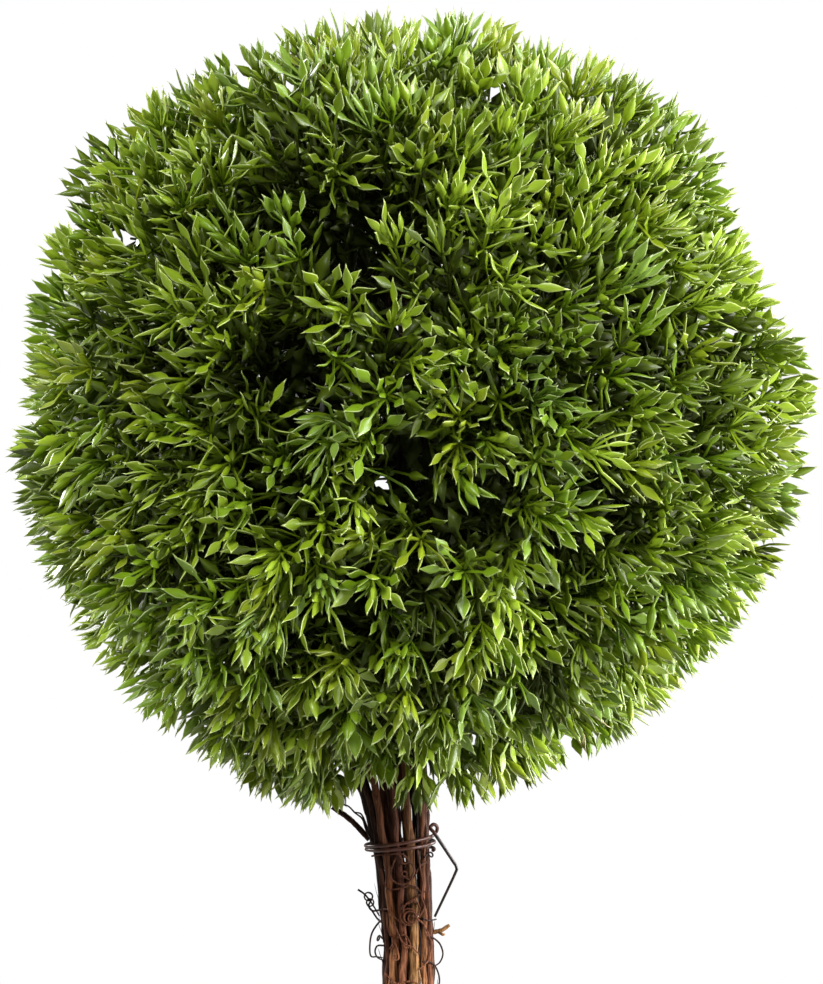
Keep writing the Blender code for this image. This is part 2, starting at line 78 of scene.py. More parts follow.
GAP = 0.0003  # between pieces of the model that touch on the real object
GOLDEN_ANGLE = math.pi * (3 - math.sqrt(5))
PIECE_TRIANGLES = 190_000  # most triangles that one joined piece holds
RIM_CUT = 0.00001  # a leaf's points nearer than this to its middle aren't on its rim
AIM = Vector((0.0013, 0.0, 0.4885))  # the point that the photograph's middle shows
EYE_DISTANCE = 1.4  # from where the photograph is taken to that point
ROUND = 180.0  # degrees: no edge stays sharp
UPPER_TIE = 0.3425  # height of the upper tie
TIP_LIFT = 1.3  # how many times its last ring's lift a blade's tip has
CROWN_HEIGHT = 0.525  # of the crown's centre
CORE_RADIUS = 0.140  # of the core in the model's crown
CORE_FLAT = 0.97  # share of that radius where its underside is cut flat for the vines
SOFTEST, HARDEST = 0.25, 0.01  # half the range of a noise that a blotch's edge takes up
GREY = (0.5, 0.5, 0.5)
WHITE = (1.0, 1.0, 1.0)

Colour = tuple[float, float, float]
Feed = float | str | Colour | NodeSocket | NodeTree  # what an input or a property of a node takes
Limits = tuple[float, float]  # the least and the most
Line = tuple[list[Vector], list[float]]  # points, and the radius of a tube at each
Section = tuple[tuple[float, float], ...]  # points round a blade, as shares of its half width and thickness
Step = tuple[float, float, float]  # along X, Y and Z
Swell = tuple[float, Step, float]  # its size, its waves along X, Y and Z, and where they start

KEELED: Section = ((0.0, 1.0), (-1.0, 0.0), (0.0, -1.0), (1.0, 0.0))
RIMMED: Section = ((0.0, 0.35), (-0.84, 1.0), (-1.0, 0.0), (0.0, -1.0), (1.0, 0.0), (0.84, 1.0))

ARRAYS = {  # what a copied shape holds: the mesh's items, a property of theirs, its width and its type
    "points": ("vertices", "co", 3, np.float32),
    "edges": ("edges", "vertices", 2, np.int32),
    "sharp": ("edges", "use_edge_sharp", 1, bool),
    "corners": ("loops", "vertex_index", 1, np.int32),
    "corner_edges": ("loops", "edge_index", 1, np.int32),
    "sizes": ("polygons", "loop_total", 1, np.int32),
    "slots": ("polygons", "material_index", 1, np.int32),
}


# Working with operators


def deselect() -> None:
    """Deselects every object."""
    bpy.ops.object.select_all(action="DESELECT")


def only(piece: Piece) -> None:
    """Selects one object alone, and makes it active.

    Args:
        piece: The object.
    """
    deselect()
    piece.select_set(True)
    bpy.context.view_layer.objects.active = piece


def added(name: str) -> Piece:
    """Names the object that was just added, and its mesh.

    Args:
        name: The name.

    Returns:
        The object.
    """
    piece = bpy.context.active_object
    piece.name = name
    piece.data.name = name
    return piece


def weld(piece: Piece, distance: float = 0.00001) -> None:
    """Merges a mesh's doubled points and turns its faces outwards.

    Args:
        piece: The mesh object.
        distance: Points nearer than this become one.
    """
    only(piece)
    bpy.ops.object.mode_set(mode="EDIT")
    bpy.ops.mesh.select_all(action="SELECT")
    bpy.ops.mesh.remove_doubles(threshold=distance)
    bpy.ops.mesh.normals_make_consistent(inside=False)
    bpy.ops.object.mode_set(mode="OBJECT")


def smooth(piece: Piece, degrees: float = 40.0) -> None:
    """Shades a mesh smooth, but for edges sharper than an angle in degrees."""
    only(piece)
    bpy.ops.object.shade_smooth_by_angle(angle=math.radians(degrees))


def extrude(step: Sequence[float]) -> None:
    """Extrudes the selected face by a step, in edit mode."""
    bpy.ops.mesh.extrude_region_move(TRANSFORM_OT_translate={"value": tuple(step)})


def resize(across: float, deep: float, centre: Sequence[float]) -> None:
    """Scales the selection along X and Y about a centre, in edit mode."""
    bpy.ops.transform.resize(value=(across, deep, 1.0), center_override=tuple(centre))


def move_points(piece: Piece, rule: Callable[[int, Vector], Sequence[float]]) -> None:
    """Moves a mesh's points by a rule, in edit mode.

    Args:
        piece: The mesh object.
        rule: Gives a point's new place from its number and its old place.
    """
    shape = bmesh.from_edit_mesh(piece.data)
    for i, point in enumerate(shape.verts):
        point.co = rule(i, point.co)
    bmesh.update_edit_mesh(piece.data)


def turned(name: str, profile: Sequence[tuple[float, float]], sides: int) -> Piece:
    """A closed solid of revolution about Z, extruded ring by ring from a disc.

    Args:
        name: The piece's name.
        profile: (radius, height) of each ring, from the lower disc's rim to the upper one's.
        sides: How many sides the rings have.

    Returns:
        The mesh object.
    """
    radius, height = profile[0]
    deselect()
    bpy.ops.mesh.primitive_circle_add(
        vertices=sides, radius=radius, fill_type="NGON", location=(0.0, 0.0, height), enter_editmode=True
    )
    for next_radius, next_height in profile[1:]:
        extrude((0.0, 0.0, next_height - height))
        resize(next_radius / radius, next_radius / radius, (0.0, 0.0, next_height))
        radius, height = next_radius, next_height
    bpy.ops.object.mode_set(mode="OBJECT")
    piece = added(name)
    bpy.ops.object.transform_apply(location=True, rotation=True, scale=True)
    weld(piece)
    return piece


def tubes(name: str, lines: Sequence[Line], roundness: int) -> Piece:
    """Capped tubes along lines, joined as one mesh.

    Args:
        name: The piece's name.
        lines: The tubes' points and radii.
        roundness: The curve's bevel resolution: a tube has twice that many sides, and four more.

    Returns:
        The mesh object.
    """
    deselect()
    bpy.ops.curve.primitive_nurbs_path_add()
    curve = added(name).data
    curve.splines.clear()
    curve.bevel_depth = 1.0
    curve.bevel_resolution = roundness
    curve.use_fill_caps = True
    for points, radii in lines:
        spline = curve.splines.new("POLY")
        spline.points.add(len(points) - 1)
        spline.points.foreach_set("co", [number for point in points for number in (*point, 1.0)])
        spline.points.foreach_set("radius", radii)
    bpy.ops.object.convert(target="MESH")
    piece = added(name)
    weld(piece)
    smooth(piece)
    return piece


def relief(piece: Piece, size: float, stretch: float, strength: float) -> None:
    """Moves a mesh's surface in and out by a noise that may be stretched along Z.

    Args:
        piece: The mesh object.
        size: The width of the noise's forms.
        stretch: How many times longer than wide they are.
        strength: The whole depth from the lowest to the highest.
    """
    deselect()
    bpy.ops.object.empty_add(location=(0.0, 0.0, 0.0))
    guide = bpy.context.active_object
    guide.scale = (1.0, 1.0, stretch)
    bpy.context.view_layer.update()
    texture = bpy.data.textures.new("relief", "CLOUDS")
    texture.noise_scale = size
    modifier = piece.modifiers.new("relief", "DISPLACE")
    modifier.texture = texture
    modifier.texture_coords = "OBJECT"
    modifier.texture_coords_object = guide
    modifier.strength = strength
    modifier.mid_level = 0.5
    only(piece)
    bpy.ops.object.modifier_apply(modifier=modifier.name)
    bpy.data.objects.remove(guide, do_unlink=True)
    bpy.data.textures.remove(texture)


# Points and lines


def mm(*step: float) -> Vector:
    """A step along X, Y and Z in millimetres, as a vector in metres."""
    return Vector(step) / 1000


def stepped(start: Vector, *steps: Step) -> list[Vector]:
    """The points that lie at steps in millimetres from a start."""
    return [start + mm(*step) for step in steps]


def polar(radius: float, azimuth: float, height: float = 0.0) -> Vector:
    """The point at a distance and an azimuth from the Z axis."""
    return Vector((radius * math.cos(azimuth), radius * math.sin(azimuth), height))


def scatter(rng: random.Random, most: float, scale: float = 1.0) -> Vector:
    """A random vector whose parts are up to a most either way, times a scale."""
    return Vector([rng.uniform(-most, most) * scale for _ in range(3)])


def waved(direction: Vector, swells: Sequence[Swell]) -> float:
    """The sum of swells in a direction."""
    return sum(size * math.sin(direction.dot(waves) + start) for size, waves, start in swells)


def smooth_line(knots: Sequence[Vector], steps: int) -> list[Vector]:
    """Points on a smooth curve through knots.

    Args:
        knots: The points that the curve passes.
        steps: How many steps lie between each two knots.

    Returns:
        The curve's points, the last knot included.
    """
    padded = [knots[0] * 2 - knots[1], *knots, knots[-1] * 2 - knots[-2]]
    points = []
    for before, start, end, after in zip(padded, padded[1:], padded[2:], padded[3:]):
        for i in range(steps):
            t = i / steps
            line = 2 * start + (end - before) * t
            line += (2 * before - 5 * start + 4 * end - after) * t**2
            line += (3 * start - before - 3 * end + after) * t**3
            points.append(line * 0.5)
    return [*points, knots[-1].copy()]


def tapered(points: list[Vector], thick: float, thin: float) -> Line:
    """A line whose radius goes evenly from thick at its first point to thin at its last."""
    last = len(points) - 1
    return points, [thick + (thin - thick) * i / last for i in range(last + 1)]


# Shapes modelled once and copied into one mesh


@dataclass(frozen=True)
class Pattern:
    """A modelled shape to copy.

    Attributes:
        arrays: Its mesh, by the names in ARRAYS.
        triangles: How many triangles it makes.
    """

    arrays: dict[str, np.ndarray]
    triangles: int

    @classmethod
    def taken_from(cls, piece: Piece) -> "Pattern":
        """Reads a modelled object and removes it.

        Args:
            piece: The mesh object.

        Returns:
            Its shape.
        """
        mesh = piece.data
        arrays = {}
        for name, (items, label, width, kind) in ARRAYS.items():
            arrays[name] = np.zeros(len(getattr(mesh, items)) * width, kind)
            getattr(mesh, items).foreach_get(label, arrays[name])
        bpy.data.objects.remove(piece, do_unlink=True)
        bpy.data.meshes.remove(mesh)
        return cls(arrays, int((arrays["sizes"] - 2).sum()))


def copied(name: str, sets: Sequence[tuple[Pattern, np.ndarray]]) -> Piece:
    """One mesh of many copies of a few patterns.

    Args:
        name: The piece's name.
        sets: Each pattern with its copies' matrices, as an array of 4 by 4 ones.

    Returns:
        The mesh object.
    """
    heaps: dict[str, list[np.ndarray]] = {label: [] for label in ARRAYS}
    first_point = first_edge = 0
    for pattern, frames in sets:
        points = pattern.arrays["points"].reshape(-1, 3)
        edge_count = len(pattern.arrays["sharp"])
        turns = np.arange(len(frames))[:, None]
        shifts = dict.fromkeys(ARRAYS, 0 * turns)
        shifts["edges"] = shifts["corners"] = first_point + turns * len(points)
        shifts["corner_edges"] = first_edge + turns * edge_count
        rows = {label: values + shifts[label] for label, values in pattern.arrays.items()}
        rows["points"] = np.einsum("kij,nj->kni", frames[:, :3, :3], points) + frames[:, None, :3, 3]
        for label, heap in heaps.items():
            heap.append(rows[label].ravel())
        first_point += len(frames) * len(points)
        first_edge += len(frames) * edge_count
    whole = {label: np.concatenate(heap).astype(ARRAYS[label][3]) for label, heap in heaps.items()}
    sizes = whole.pop("sizes")
    mesh = bpy.data.meshes.new(name)
    mesh.vertices.add(first_point)
    mesh.edges.add(first_edge)
    mesh.loops.add(len(whole["corners"]))
    mesh.polygons.add(len(sizes))
    mesh.polygons.foreach_set("loop_start", (np.cumsum(sizes) - sizes).astype(np.int32))
    for label, values in whole.items():
        items, what, *_ = ARRAYS[label]
        getattr(mesh, items).foreach_set(what, values)
    mesh.update()
    mesh.validate()
    piece = bpy.data.objects.new(name, mesh)
    bpy.context.scene.collection.objects.link(piece)
    return piece


def placed(start: Vector, along: Vector, facing: Vector, size: Sequence[float]) -> np.ndarray:
    """The matrix that lays a shape along +Z on a line, with its +Y side towards facing.

    Args:
        start: Where the shape's origin goes.
        along: Where its +Z points.
        facing: Where its +Y points, as nearly as that allows.
        size: Its scale along X, Y and Z.

    Returns:
        A 4 by 4 array.
    """
    across = facing.cross(along).normalized()
    up = along.cross(across)
    made = np.identity(4, np.float32)
    for i, column in enumerate((across * size[0], up * size[1], along * size[2], start)):
        made[:3, i] = column
    return made


def blade(
    name: str,
    length: float,
    rings: Sequence[tuple[float, float, float, float]],
    fold: float,
    soft: float,
    tip_share: float = 1.0,
    section: Section = KEELED,
) -> Pattern:
    """A thin pointed blade along +Z, extruded ring by ring from a small disc.

    Args:
        name: Its name while it is modelled.
        length: Its length.
        rings: Each ring's width, thickness, lift towards +Y and share of the length.
        fold: How far its edges stand over its middle, as a share of its half width.
        soft: The angle in degrees up to which its edges are shaded round.
        tip_share: From which share of the length its faces have the second material.
        section: Its cross section. Faces off its middle have that material too, from the second ring on.

    Returns:
        The shape.
    """
    deselect()
    bpy.ops.mesh.primitive_circle_add(
        vertices=len(section), radius=1.0, fill_type="NGON", enter_editmode=True
    )
    piece = added(name)
    move_points(piece, lambda i, _: (*section[i], 0.0))
    middle = Vector((0.0, 0.0, 0.0))
    wide, deep = 1.0, 1.0
    for i, (width, thick, lift, share) in enumerate(rings):
        target = Vector((0.0, lift, share * length))
        if i:
            extrude(target - middle)
        resize(width / 2 / wide, thick / 2 / deep, target)
        wide, deep, middle = width / 2, thick / 2, target
    extrude(Vector((0.0, rings[-1][2] * TIP_LIFT, length)) - middle)
    bpy.ops.mesh.merge(type="CENTER")
    move_points(piece, lambda _, at: (at.x, at.y + abs(at.x) * fold, at.z))
    bpy.ops.object.mode_set(mode="OBJECT")
    weld(piece, 0.000001)
    smooth(piece, soft)
    points = piece.data.vertices
    # Rim faces past the stalk, and the tip, take the second material; on leaves it is a lighter green, a
    # painted highlight.
    for face in piece.data.polygons:
        on_rim = min(abs(points[i].co.x) for i in face.vertices) > RIM_CUT
        past_foot = face.center.z > rings[1][3] * length
        face.material_index = int(on_rim and past_foot or face.center.z > tip_share * length)
    return Pattern.taken_from(piece)


# Shader nodes


def feed(tree: NodeTree, target: Node, *entries: Feed, **values: Feed) -> Node:
    """Sets a node's properties and inputs, and links its inputs to sockets.

    Args:
        tree: The node tree.
        target: The node.
        entries: Numbers, colours or sockets for its first inputs.
        values: The same by name, with _ for a space, and properties.

    Returns:
        The node.
    """
    for name, value in (*values.items(), *enumerate(entries)):
        if name in values and hasattr(target, name):
            setattr(target, name, value)
            continue
        entry = target.inputs[name.replace("_", " ") if name in values else name]
        if isinstance(value, NodeSocket):
            tree.links.new(value, entry)
        else:
            entry.default_value = (*value, 1.0) if isinstance(value, tuple) else value
    return target


def node(tree: NodeTree, kind: str, *entries: Feed, **values: Feed) -> Node:
    """Adds a shader node of a kind, fed as feed says."""
    return feed(tree, tree.nodes.new(f"ShaderNode{kind}"), *entries, **values)


def maths(tree: NodeTree, operation: str, *terms: Feed) -> NodeSocket:
    """The result of an operation on numbers and sockets."""
    return node(tree, "Math", *terms, operation=operation).outputs[0]


def mixed(tree: NodeTree, mask: NodeSocket, first: Feed, second: Feed) -> NodeSocket:
    """The first colour where a mask is 0, and the second where it is 1."""
    return node(tree, "Mix", data_type="RGBA", Factor=mask, A=first, B=second).outputs["Result"]


def spanned(tree: NodeTree, value: NodeSocket, low: float, high: float, **values: Feed) -> NodeSocket:
    """A value from 0 to 1, or in the range that values names, as one from low to high."""
    return node(tree, "MapRange", Value=value, To_Min=low, To_Max=high, **values).outputs["Result"]


def masked(tree: NodeTree, value: NodeSocket, start: Feed, end: Feed) -> NodeSocket:
    """A mask that goes softly from 0 to 1 as a value goes from start to end."""
    return spanned(tree, value, 0.0, 1.0, interpolation_type="SMOOTHSTEP", From_Min=start, From_Max=end)


def bumped(tree: NodeTree, height: NodeSocket, depth: float) -> NodeSocket:
    """The normals of a relief, where a height of 1 measures depth in metres."""
    return node(tree, "Bump", Distance=depth, Height=height).outputs["Normal"]


def own_place(tree: NodeTree) -> NodeSocket:
    """The object's own coordinates."""
    return node(tree, "TexCoord").outputs["Object"]


def sized_noise(tree: NodeTree, size: NodeSocket, **values: Feed) -> NodeSocket:
    """A noise from 0 to 1 whose forms have a size in metres."""
    scale = maths(tree, "DIVIDE", 1.0, size)
    return node(tree, "TexNoise", Vector=own_place(tree), Scale=scale, **values).outputs["Fac"]


# Shader effects that several finishes share


def opened(tree: NodeTree, inputs: dict[str, float | Colour], *outputs: str) -> tuple[Node, Node]:
    """Gives a node group its named sockets.

    Args:
        tree: The empty group.
        inputs: Each input's name, and its value where nothing feeds it.
        outputs: The outputs' names: Color is a colour, the others are numbers.

    Returns:
        The node of its inputs and that of its outputs.
    """
    sockets = {name: ("INPUT", isinstance(value, tuple)) for name, value in inputs.items()}
    sockets |= {name: ("OUTPUT", name == "Color") for name in outputs}
    for name, (way, coloured) in sockets.items():
        kind = "NodeSocketColor" if coloured else "NodeSocketFloat"
        made = tree.interface.new_socket(name=name, in_out=way, socket_type=kind)
        if way == "INPUT":
            made.default_value = (*inputs[name], 1.0) if coloured else inputs[name]
    return tree.nodes.new("NodeGroupInput"), tree.nodes.new("NodeGroupOutput")


def blotches(tree: NodeTree) -> None:
    """Soft patches between two colours.

    Args:
        tree: The empty group. Its inputs are Size in metres, Edge from 0, soft, to 1, hard, Share of the
            second colour, First and Second. Its outputs are Color and Mask.
    """
    inputs = {"Size": 0.01, "Edge": 0.5, "Share": 0.5, "First": GREY, "Second": GREY}
    given, out = opened(tree, inputs, "Color", "Mask")
    noise = sized_noise(tree, given.outputs["Size"], Detail=4.0)
    middle = maths(tree, "SUBTRACT", 1.0, given.outputs["Share"])
    half = maths(tree, "MULTIPLY_ADD", given.outputs["Edge"], HARDEST - SOFTEST, SOFTEST)
    start, end = (maths(tree, way, middle, half) for way in ("SUBTRACT", "ADD"))
    mask = masked(tree, noise, start, end)
    feed(tree, out, Color=mixed(tree, mask, given.outputs["First"], given.outputs["Second"]), Mask=mask)


def fibres(tree: NodeTree) -> None:
    """Long fibres along Z.

    Args:
        tree: The empty group. Its inputs are Width and Length in metres. Its outputs are Mask and Height.
    """
    given, out = opened(tree, {"Width": 0.0005, "Length": 0.01}, "Mask", "Height")
    width, length = (given.outputs[name] for name in ("Width", "Length"))
    sizes = node(tree, "CombineXYZ", width, width, length)
    place = node(tree, "VectorMath", own_place(tree), sizes.outputs[0], operation="DIVIDE")
    noise = node(tree, "TexNoise", Vector=place.outputs[0], Scale=1.0, Detail=6.0, Roughness=0.65)
    height = noise.outputs["Fac"]
    feed(tree, out, Mask=masked(tree, height, start=0.35, end=0.65), Height=height)


def grain(tree: NodeTree) -> None:
    """Fine grains or pits.

    Args:
        tree: The empty group. Its input is Size in metres. Its outputs are Mask and Height.
    """
    given, out = opened(tree, {"Size": 0.001}, "Mask", "Height")
    height = sized_noise(tree, given.outputs["Size"], Detail=3.0, Roughness=0.6)
    feed(tree, out, Mask=masked(tree, height, start=0.3, end=0.7), Height=height)


class Effect(Enum):
    """The shared shader node groups."""

    BLOTCHES = "blotches"
    FIBRES = "fibres"
    GRAIN = "grain"

    def placed_in(self, tree: NodeTree, **values: Feed) -> tuple[NodeSocket, NodeSocket]:
        """Places the group in a material, and builds it when it is first asked for.

        Args:
            tree: The material's node tree.
            values: The group's inputs by name.

        Returns:
            Its two outputs.
        """
        shared = bpy.data.node_groups.get(self.value)
        if shared is None:
            shared = bpy.data.node_groups.new(self.value, "ShaderNodeTree")
            {"blotches": blotches, "fibres": fibres, "grain": grain}[self.value](shared)
        first, second = node(tree, "Group", node_tree=shared, **values).outputs
        return first, second


# Finishes


class Finish(ABC):
    """A finish that makes materials."""

    @abstractmethod
    def inputs(self, tree: NodeTree) -> dict[str, Feed]:
        """Adds the finish's nodes to a tree, and gives the shader's inputs by name, with _ for a space."""

    def material(self, name: str) -> Material:
        """Makes a material of the finish.

        Args:
            name: The material's name.

        Returns:
            The material.
        """
        made = bpy.data.materials.new(name)
        made.use_nodes = True
        tree = made.node_tree
        feed(tree, tree.nodes["Principled BSDF"], **self.inputs(tree))
        return made


@dataclass(frozen=True)
class MouldedPlastic(Finish):
    """Satin leaf plastic in one colour, whose gloss varies.

    Attributes:
        colour: Its base colour.
        roughness: The least and most roughness.
        gloss: The shader's specular level.
        skin: The size of the moulded skin's grain.
        depth: The depth of that grain.
        highlight_gain: How much brighter each part of its colour is at a leaf's thin rim and tip, painted
            there as a highlight.
        highlight_green: How much of its green each part gains there, for the same painted highlight.
    """

    colour: Colour
    roughness: Limits = (0.27, 0.46)
    gloss: float = 0.65
    skin: float = 0.0007
    depth: float = 0.00006
    highlight_gain: Colour = (1.15, 1.60, 2.0)
    highlight_green: Colour = (0.56, 0.0, 0.42)

    def with_highlight(self) -> "MouldedPlastic":
        """The same plastic, lighter and whiter, for a leaf's rim and tip: a painted highlight."""
        parts = zip(self.colour, self.highlight_gain, self.highlight_green)
        return replace(self, colour=tuple(part * gain + self.colour[1] * more for part, gain, more in parts))

    def inputs(self, tree: NodeTree) -> dict[str, Feed]:
        """Wires one colour, and a grain in gloss and relief.

        Args:
            tree: The node tree.

        Returns:
            The shader's inputs.
        """
        mask, height = Effect.GRAIN.placed_in(tree, Size=self.skin)
        return {
            "Base_Color": self.colour,
            "Specular_IOR_Level": self.gloss,
            "Roughness": spanned(tree, mask, *self.roughness),
            "Normal": bumped(tree, height, self.depth),
        }


@dataclass(frozen=True)
class VineBark(Finish):
    """Dry bark with long fibres in two colours.

    Attributes:
        dark: The colour of the furrows.
        light: The colour of the ridges.
        patch: A third colour where the bark has peeled or weathered.
        patch_share: How much of the surface has it.
        shade_begins: Below this height the bark is painted fully lit.
        shaded_from: Above this height it is painted darkest, as shade under the crown; between the two
            heights it darkens by degrees.
        patch_shares: How much more of the third colour there is at each of these heights: fewer light patches
            higher up, as part of that painted shade.
        upper_share: How much of the ridges' colour is left above shaded_from, in the painted shade.
        fine_share: The depth of the fine fibres, as a share of the ridges'.
        depth: The depth of the ridges.
    """

    dark: Colour
    light: Colour
    patch: Colour
    patch_share: float
    shade_begins: float = 0.295
    shaded_from: float = 0.335
    patch_shares: Limits = (1.5, 0.35)
    upper_share: float = 0.38
    fine_share: float = 0.6
    depth: float = 0.0005

    def inputs(self, tree: NodeTree) -> dict[str, Feed]:
        """Wires ridges with fine fibres between them, and patches that change with height: ridges and patches
        fade towards the top, as painted shade under the crown.

        Args:
            tree: The node tree.

        Returns:
            The shader's inputs.
        """
        ridge, ridge_height = Effect.FIBRES.placed_in(tree, Width=0.0007, Length=0.012)
        _, fine_height = Effect.FIBRES.placed_in(tree, Width=0.00025, Length=0.006)
        height = node(tree, "SeparateXYZ", own_place(tree)).outputs["Z"]
        # From shade_begins up to shaded_from the bark is painted darker: shade under the crown.
        over = {"From_Min": self.shade_begins, "From_Max": self.shaded_from}
        share = spanned(tree, height, *(self.patch_share * more for more in self.patch_shares), **over)
        lit_share = spanned(tree, height, 1.0, self.upper_share, **over)
        skin = {"Size": 0.010, "Edge": 0.5, "Share": share, "First": self.light, "Second": self.patch}
        patches, _ = Effect.BLOTCHES.placed_in(tree, **skin)
        both = maths(tree, "MULTIPLY_ADD", fine_height, self.fine_share, ridge_height)
        return {
            "Base_Color": mixed(tree, maths(tree, "MULTIPLY", ridge, lit_share), self.dark, patches),
            "Specular_IOR_Level": 0.2,
            "Roughness": spanned(tree, ridge, low=0.85, high=0.58),
            "Normal": bumped(tree, both, self.depth),
        }


@dataclass(frozen=True)
class CoatedWire(Finish):
    """Coated wire with dull patches."""

    colour: Colour = (0.054, 0.019, 0.012)
    worn: Colour = (0.120, 0.050, 0.032)

    def inputs(self, tree: NodeTree) -> dict[str, Feed]:
        """Wires two colours in blotches, and a faint grain.

        Args:
            tree: The node tree.

        Returns:
            The shader's inputs.
        """
        coat = {"Size": 0.003, "Edge": 0.5, "Share": 0.35, "First": self.colour, "Second": self.worn}
        colour, mask = Effect.BLOTCHES.placed_in(tree, **coat)
        _, height = Effect.GRAIN.placed_in(tree, Size=0.0004)
        return {
            "Base_Color": colour,
            "Metallic": 0.1,
            "Specular_IOR_Level": 0.35,
            "Roughness": spanned(tree, mask, low=0.3, high=0.5),
            "Normal": bumped(tree, height, depth=0.00004),
        }


@dataclass(frozen=True)
class Terracotta(Finish):
    """Unglazed clay with a lime bloom."""

    colour: Colour = (0.34, 0.128, 0.062)
    fired: Colour = (0.25, 0.083, 0.038)
    bloom: Colour = (0.47, 0.32, 0.24)
    bloom_share: float = 0.7  # how much of the clay's colour it covers where it lies thickest

    def inputs(self, tree: NodeTree) -> dict[str, Feed]:
        """Wires clay in two tones, with a bloom that lies on its grit, and pits.

        Args:
            tree: The node tree.

        Returns:
            The shader's inputs.
        """
        clay = {"Size": 0.035, "Edge": 0.1, "Share": 0.45, "First": self.colour, "Second": self.fired}
        body, _ = Effect.BLOTCHES.placed_in(tree, **clay)
        _, lime = Effect.BLOTCHES.placed_in(tree, Size=0.022, Edge=0.35, Share=0.36)
        grit, grit_height = Effect.GRAIN.placed_in(tree, Size=0.0012)
        _, pit_height = Effect.GRAIN.placed_in(tree, Size=0.0005)
        faint = maths(tree, "MULTIPLY", maths(tree, "MULTIPLY", lime, grit), self.bloom_share)
        return {
            "Base_Color": mixed(tree, faint, body, self.bloom),
            "Specular_IOR_Level": 0.3,
            "Roughness": spanned(tree, grit, low=0.78, high=0.95),
            "Normal": bumped(tree, maths(tree, "ADD", grit_height, pit_height), depth=0.0004),
        }


@dataclass(frozen=True)
class PottingSoil(Finish):
    """Dark crumbly soil."""

    wet: Colour = (0.022, 0.013, 0.008)
    dry: Colour = (0.085, 0.052, 0.032)

    def inputs(self, tree: NodeTree) -> dict[str, Feed]:
        """Wires wet and dry crumbs, and grit.

        Args:
            tree: The node tree.

        Returns:
            The shader's inputs.
        """
        crumbs = {"Size": 0.004, "Edge": 0.3, "Share": 0.5, "First": self.wet, "Second": self.dry}
        colour, _ = Effect.BLOTCHES.placed_in(tree, **crumbs)
        _, height = Effect.GRAIN.placed_in(tree, Size=0.0011)
        normal = bumped(tree, height, depth=0.0008)
        return {"Base_Color": colour, "Specular_IOR_Level": 0.3, "Roughness": 0.95, "Normal": normal}


@dataclass(frozen=True)
class Backdrop(Finish):
    """Matt pale paint of the studio's floor."""

    colour: Colour = (0.42, 0.42, 0.41)

    def inputs(self, _: NodeTree) -> dict[str, Feed]:
        """Gives the plain paint's inputs."""
        return {"Base_Color": self.colour, "Specular_IOR_Level": 0.1, "Roughness": 0.9}


class BarkTone(Enum):
    """The tones of the vines' bark."""

    BLACK = VineBark((0.007, 0.0016, 0.0004), (0.034, 0.0105, 0.0045), (0.085, 0.030, 0.013), 0.30)
    UMBER = VineBark((0.016, 0.0045, 0.0012), (0.095, 0.032, 0.012), (0.20, 0.080, 0.034), 0.40)
    RED = VineBark((0.024, 0.0055, 0.0014), (0.150, 0.043, 0.015), (0.29, 0.105, 0.046), 0.40)
    ORANGE = VineBark((0.034, 0.009, 0.002), (0.225, 0.074, 0.020), (0.40, 0.170, 0.066), 0.45)
    TAN = VineBark((0.050, 0.017, 0.005), (0.300, 0.135, 0.042), (0.44, 0.225, 0.080), 0.50)


class Tint(Enum):
    """The greens of the sprays. The darker ones also stand in for shade: lower whorls, twigs and inner leaves
    take them as painted shade.
    """

    # SHADE is painted shade: the darkest green, for leaves and stems deep in the crown.
    SHADE = MouldedPlastic((0.026, 0.038, 0.0009), (0.45, 0.6), 0.2)
    DEEP = MouldedPlastic((0.050, 0.076, 0.0015), (0.4, 0.55), 0.3)
    MIDDLE = MouldedPlastic((0.115, 0.178, 0.003))
    GRASS = MouldedPlastic((0.155, 0.262, 0.006))
    FRESH = MouldedPlastic((0.200, 0.298, 0.007))
    LIME = MouldedPlastic((0.222, 0.298, 0.008))
    BRIGHT = MouldedPlastic((0.292, 0.420, 0.022))
    MINT = MouldedPlastic((0.175, 0.285, 0.030))
    BROWNED = MouldedPlastic((0.20, 0.17, 0.030))


def named(kinds: type[Enum], words: str) -> dict[Enum, Material]:
    """The material of each tone or tint, called by some words and its name."""
    return {kind: kind.value.material(f"{words} {kind.name.lower()}") for kind in kinds}


def dress(piece: Piece, finish: Material | tuple[Material, ...], slot: str, *nodes: str) -> Piece:
    """Gives a finished piece its materials and its place in the model.

    Args:
        piece: The piece.
        finish: Its material, or one for each of its faces' slots.
        slot: A material slot's name; not used.
        nodes: The model's nodes that it stands for.

    Returns:
        The same piece.
    """
    for material in finish if isinstance(finish, tuple) else (finish,):
        piece.data.materials.append(material)
    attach(piece, "root")
    if nodes:
        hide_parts(*nodes)
    return piece


# Trunk


FRONT_TONES = dict(enumerate("UMBER ORANGE RED TAN ORANGE RED UMBER".split(), 13))  # of the vines in front
OTHER_TONES = "UMBER RED BLACK TAN RED".split()  # of the rest by turns
PEEL_RINGS = (  # each ring's width, thickness and lift
    (0.0012, 0.0003, 0.0),
    (0.0014, 0.0003, 0.0),
    (0.0013, 0.0003, 0.0002),
    (0.0011, 0.00028, 0.0005),
    (0.0008, 0.00024, 0.0010),
    (0.0004, 0.0002, 0.0013),
)


@dataclass(frozen=True)
class Vine:
    """One vine of the bundle.

    Attributes:
        radius: Its radius at the soil.
        distance: How far its middle is from the bundle's.
        angle: Its azimuth at the soil.
        fan: Its share of the fan at the top.
    """

    radius: float
    distance: float
    angle: float
    fan: float


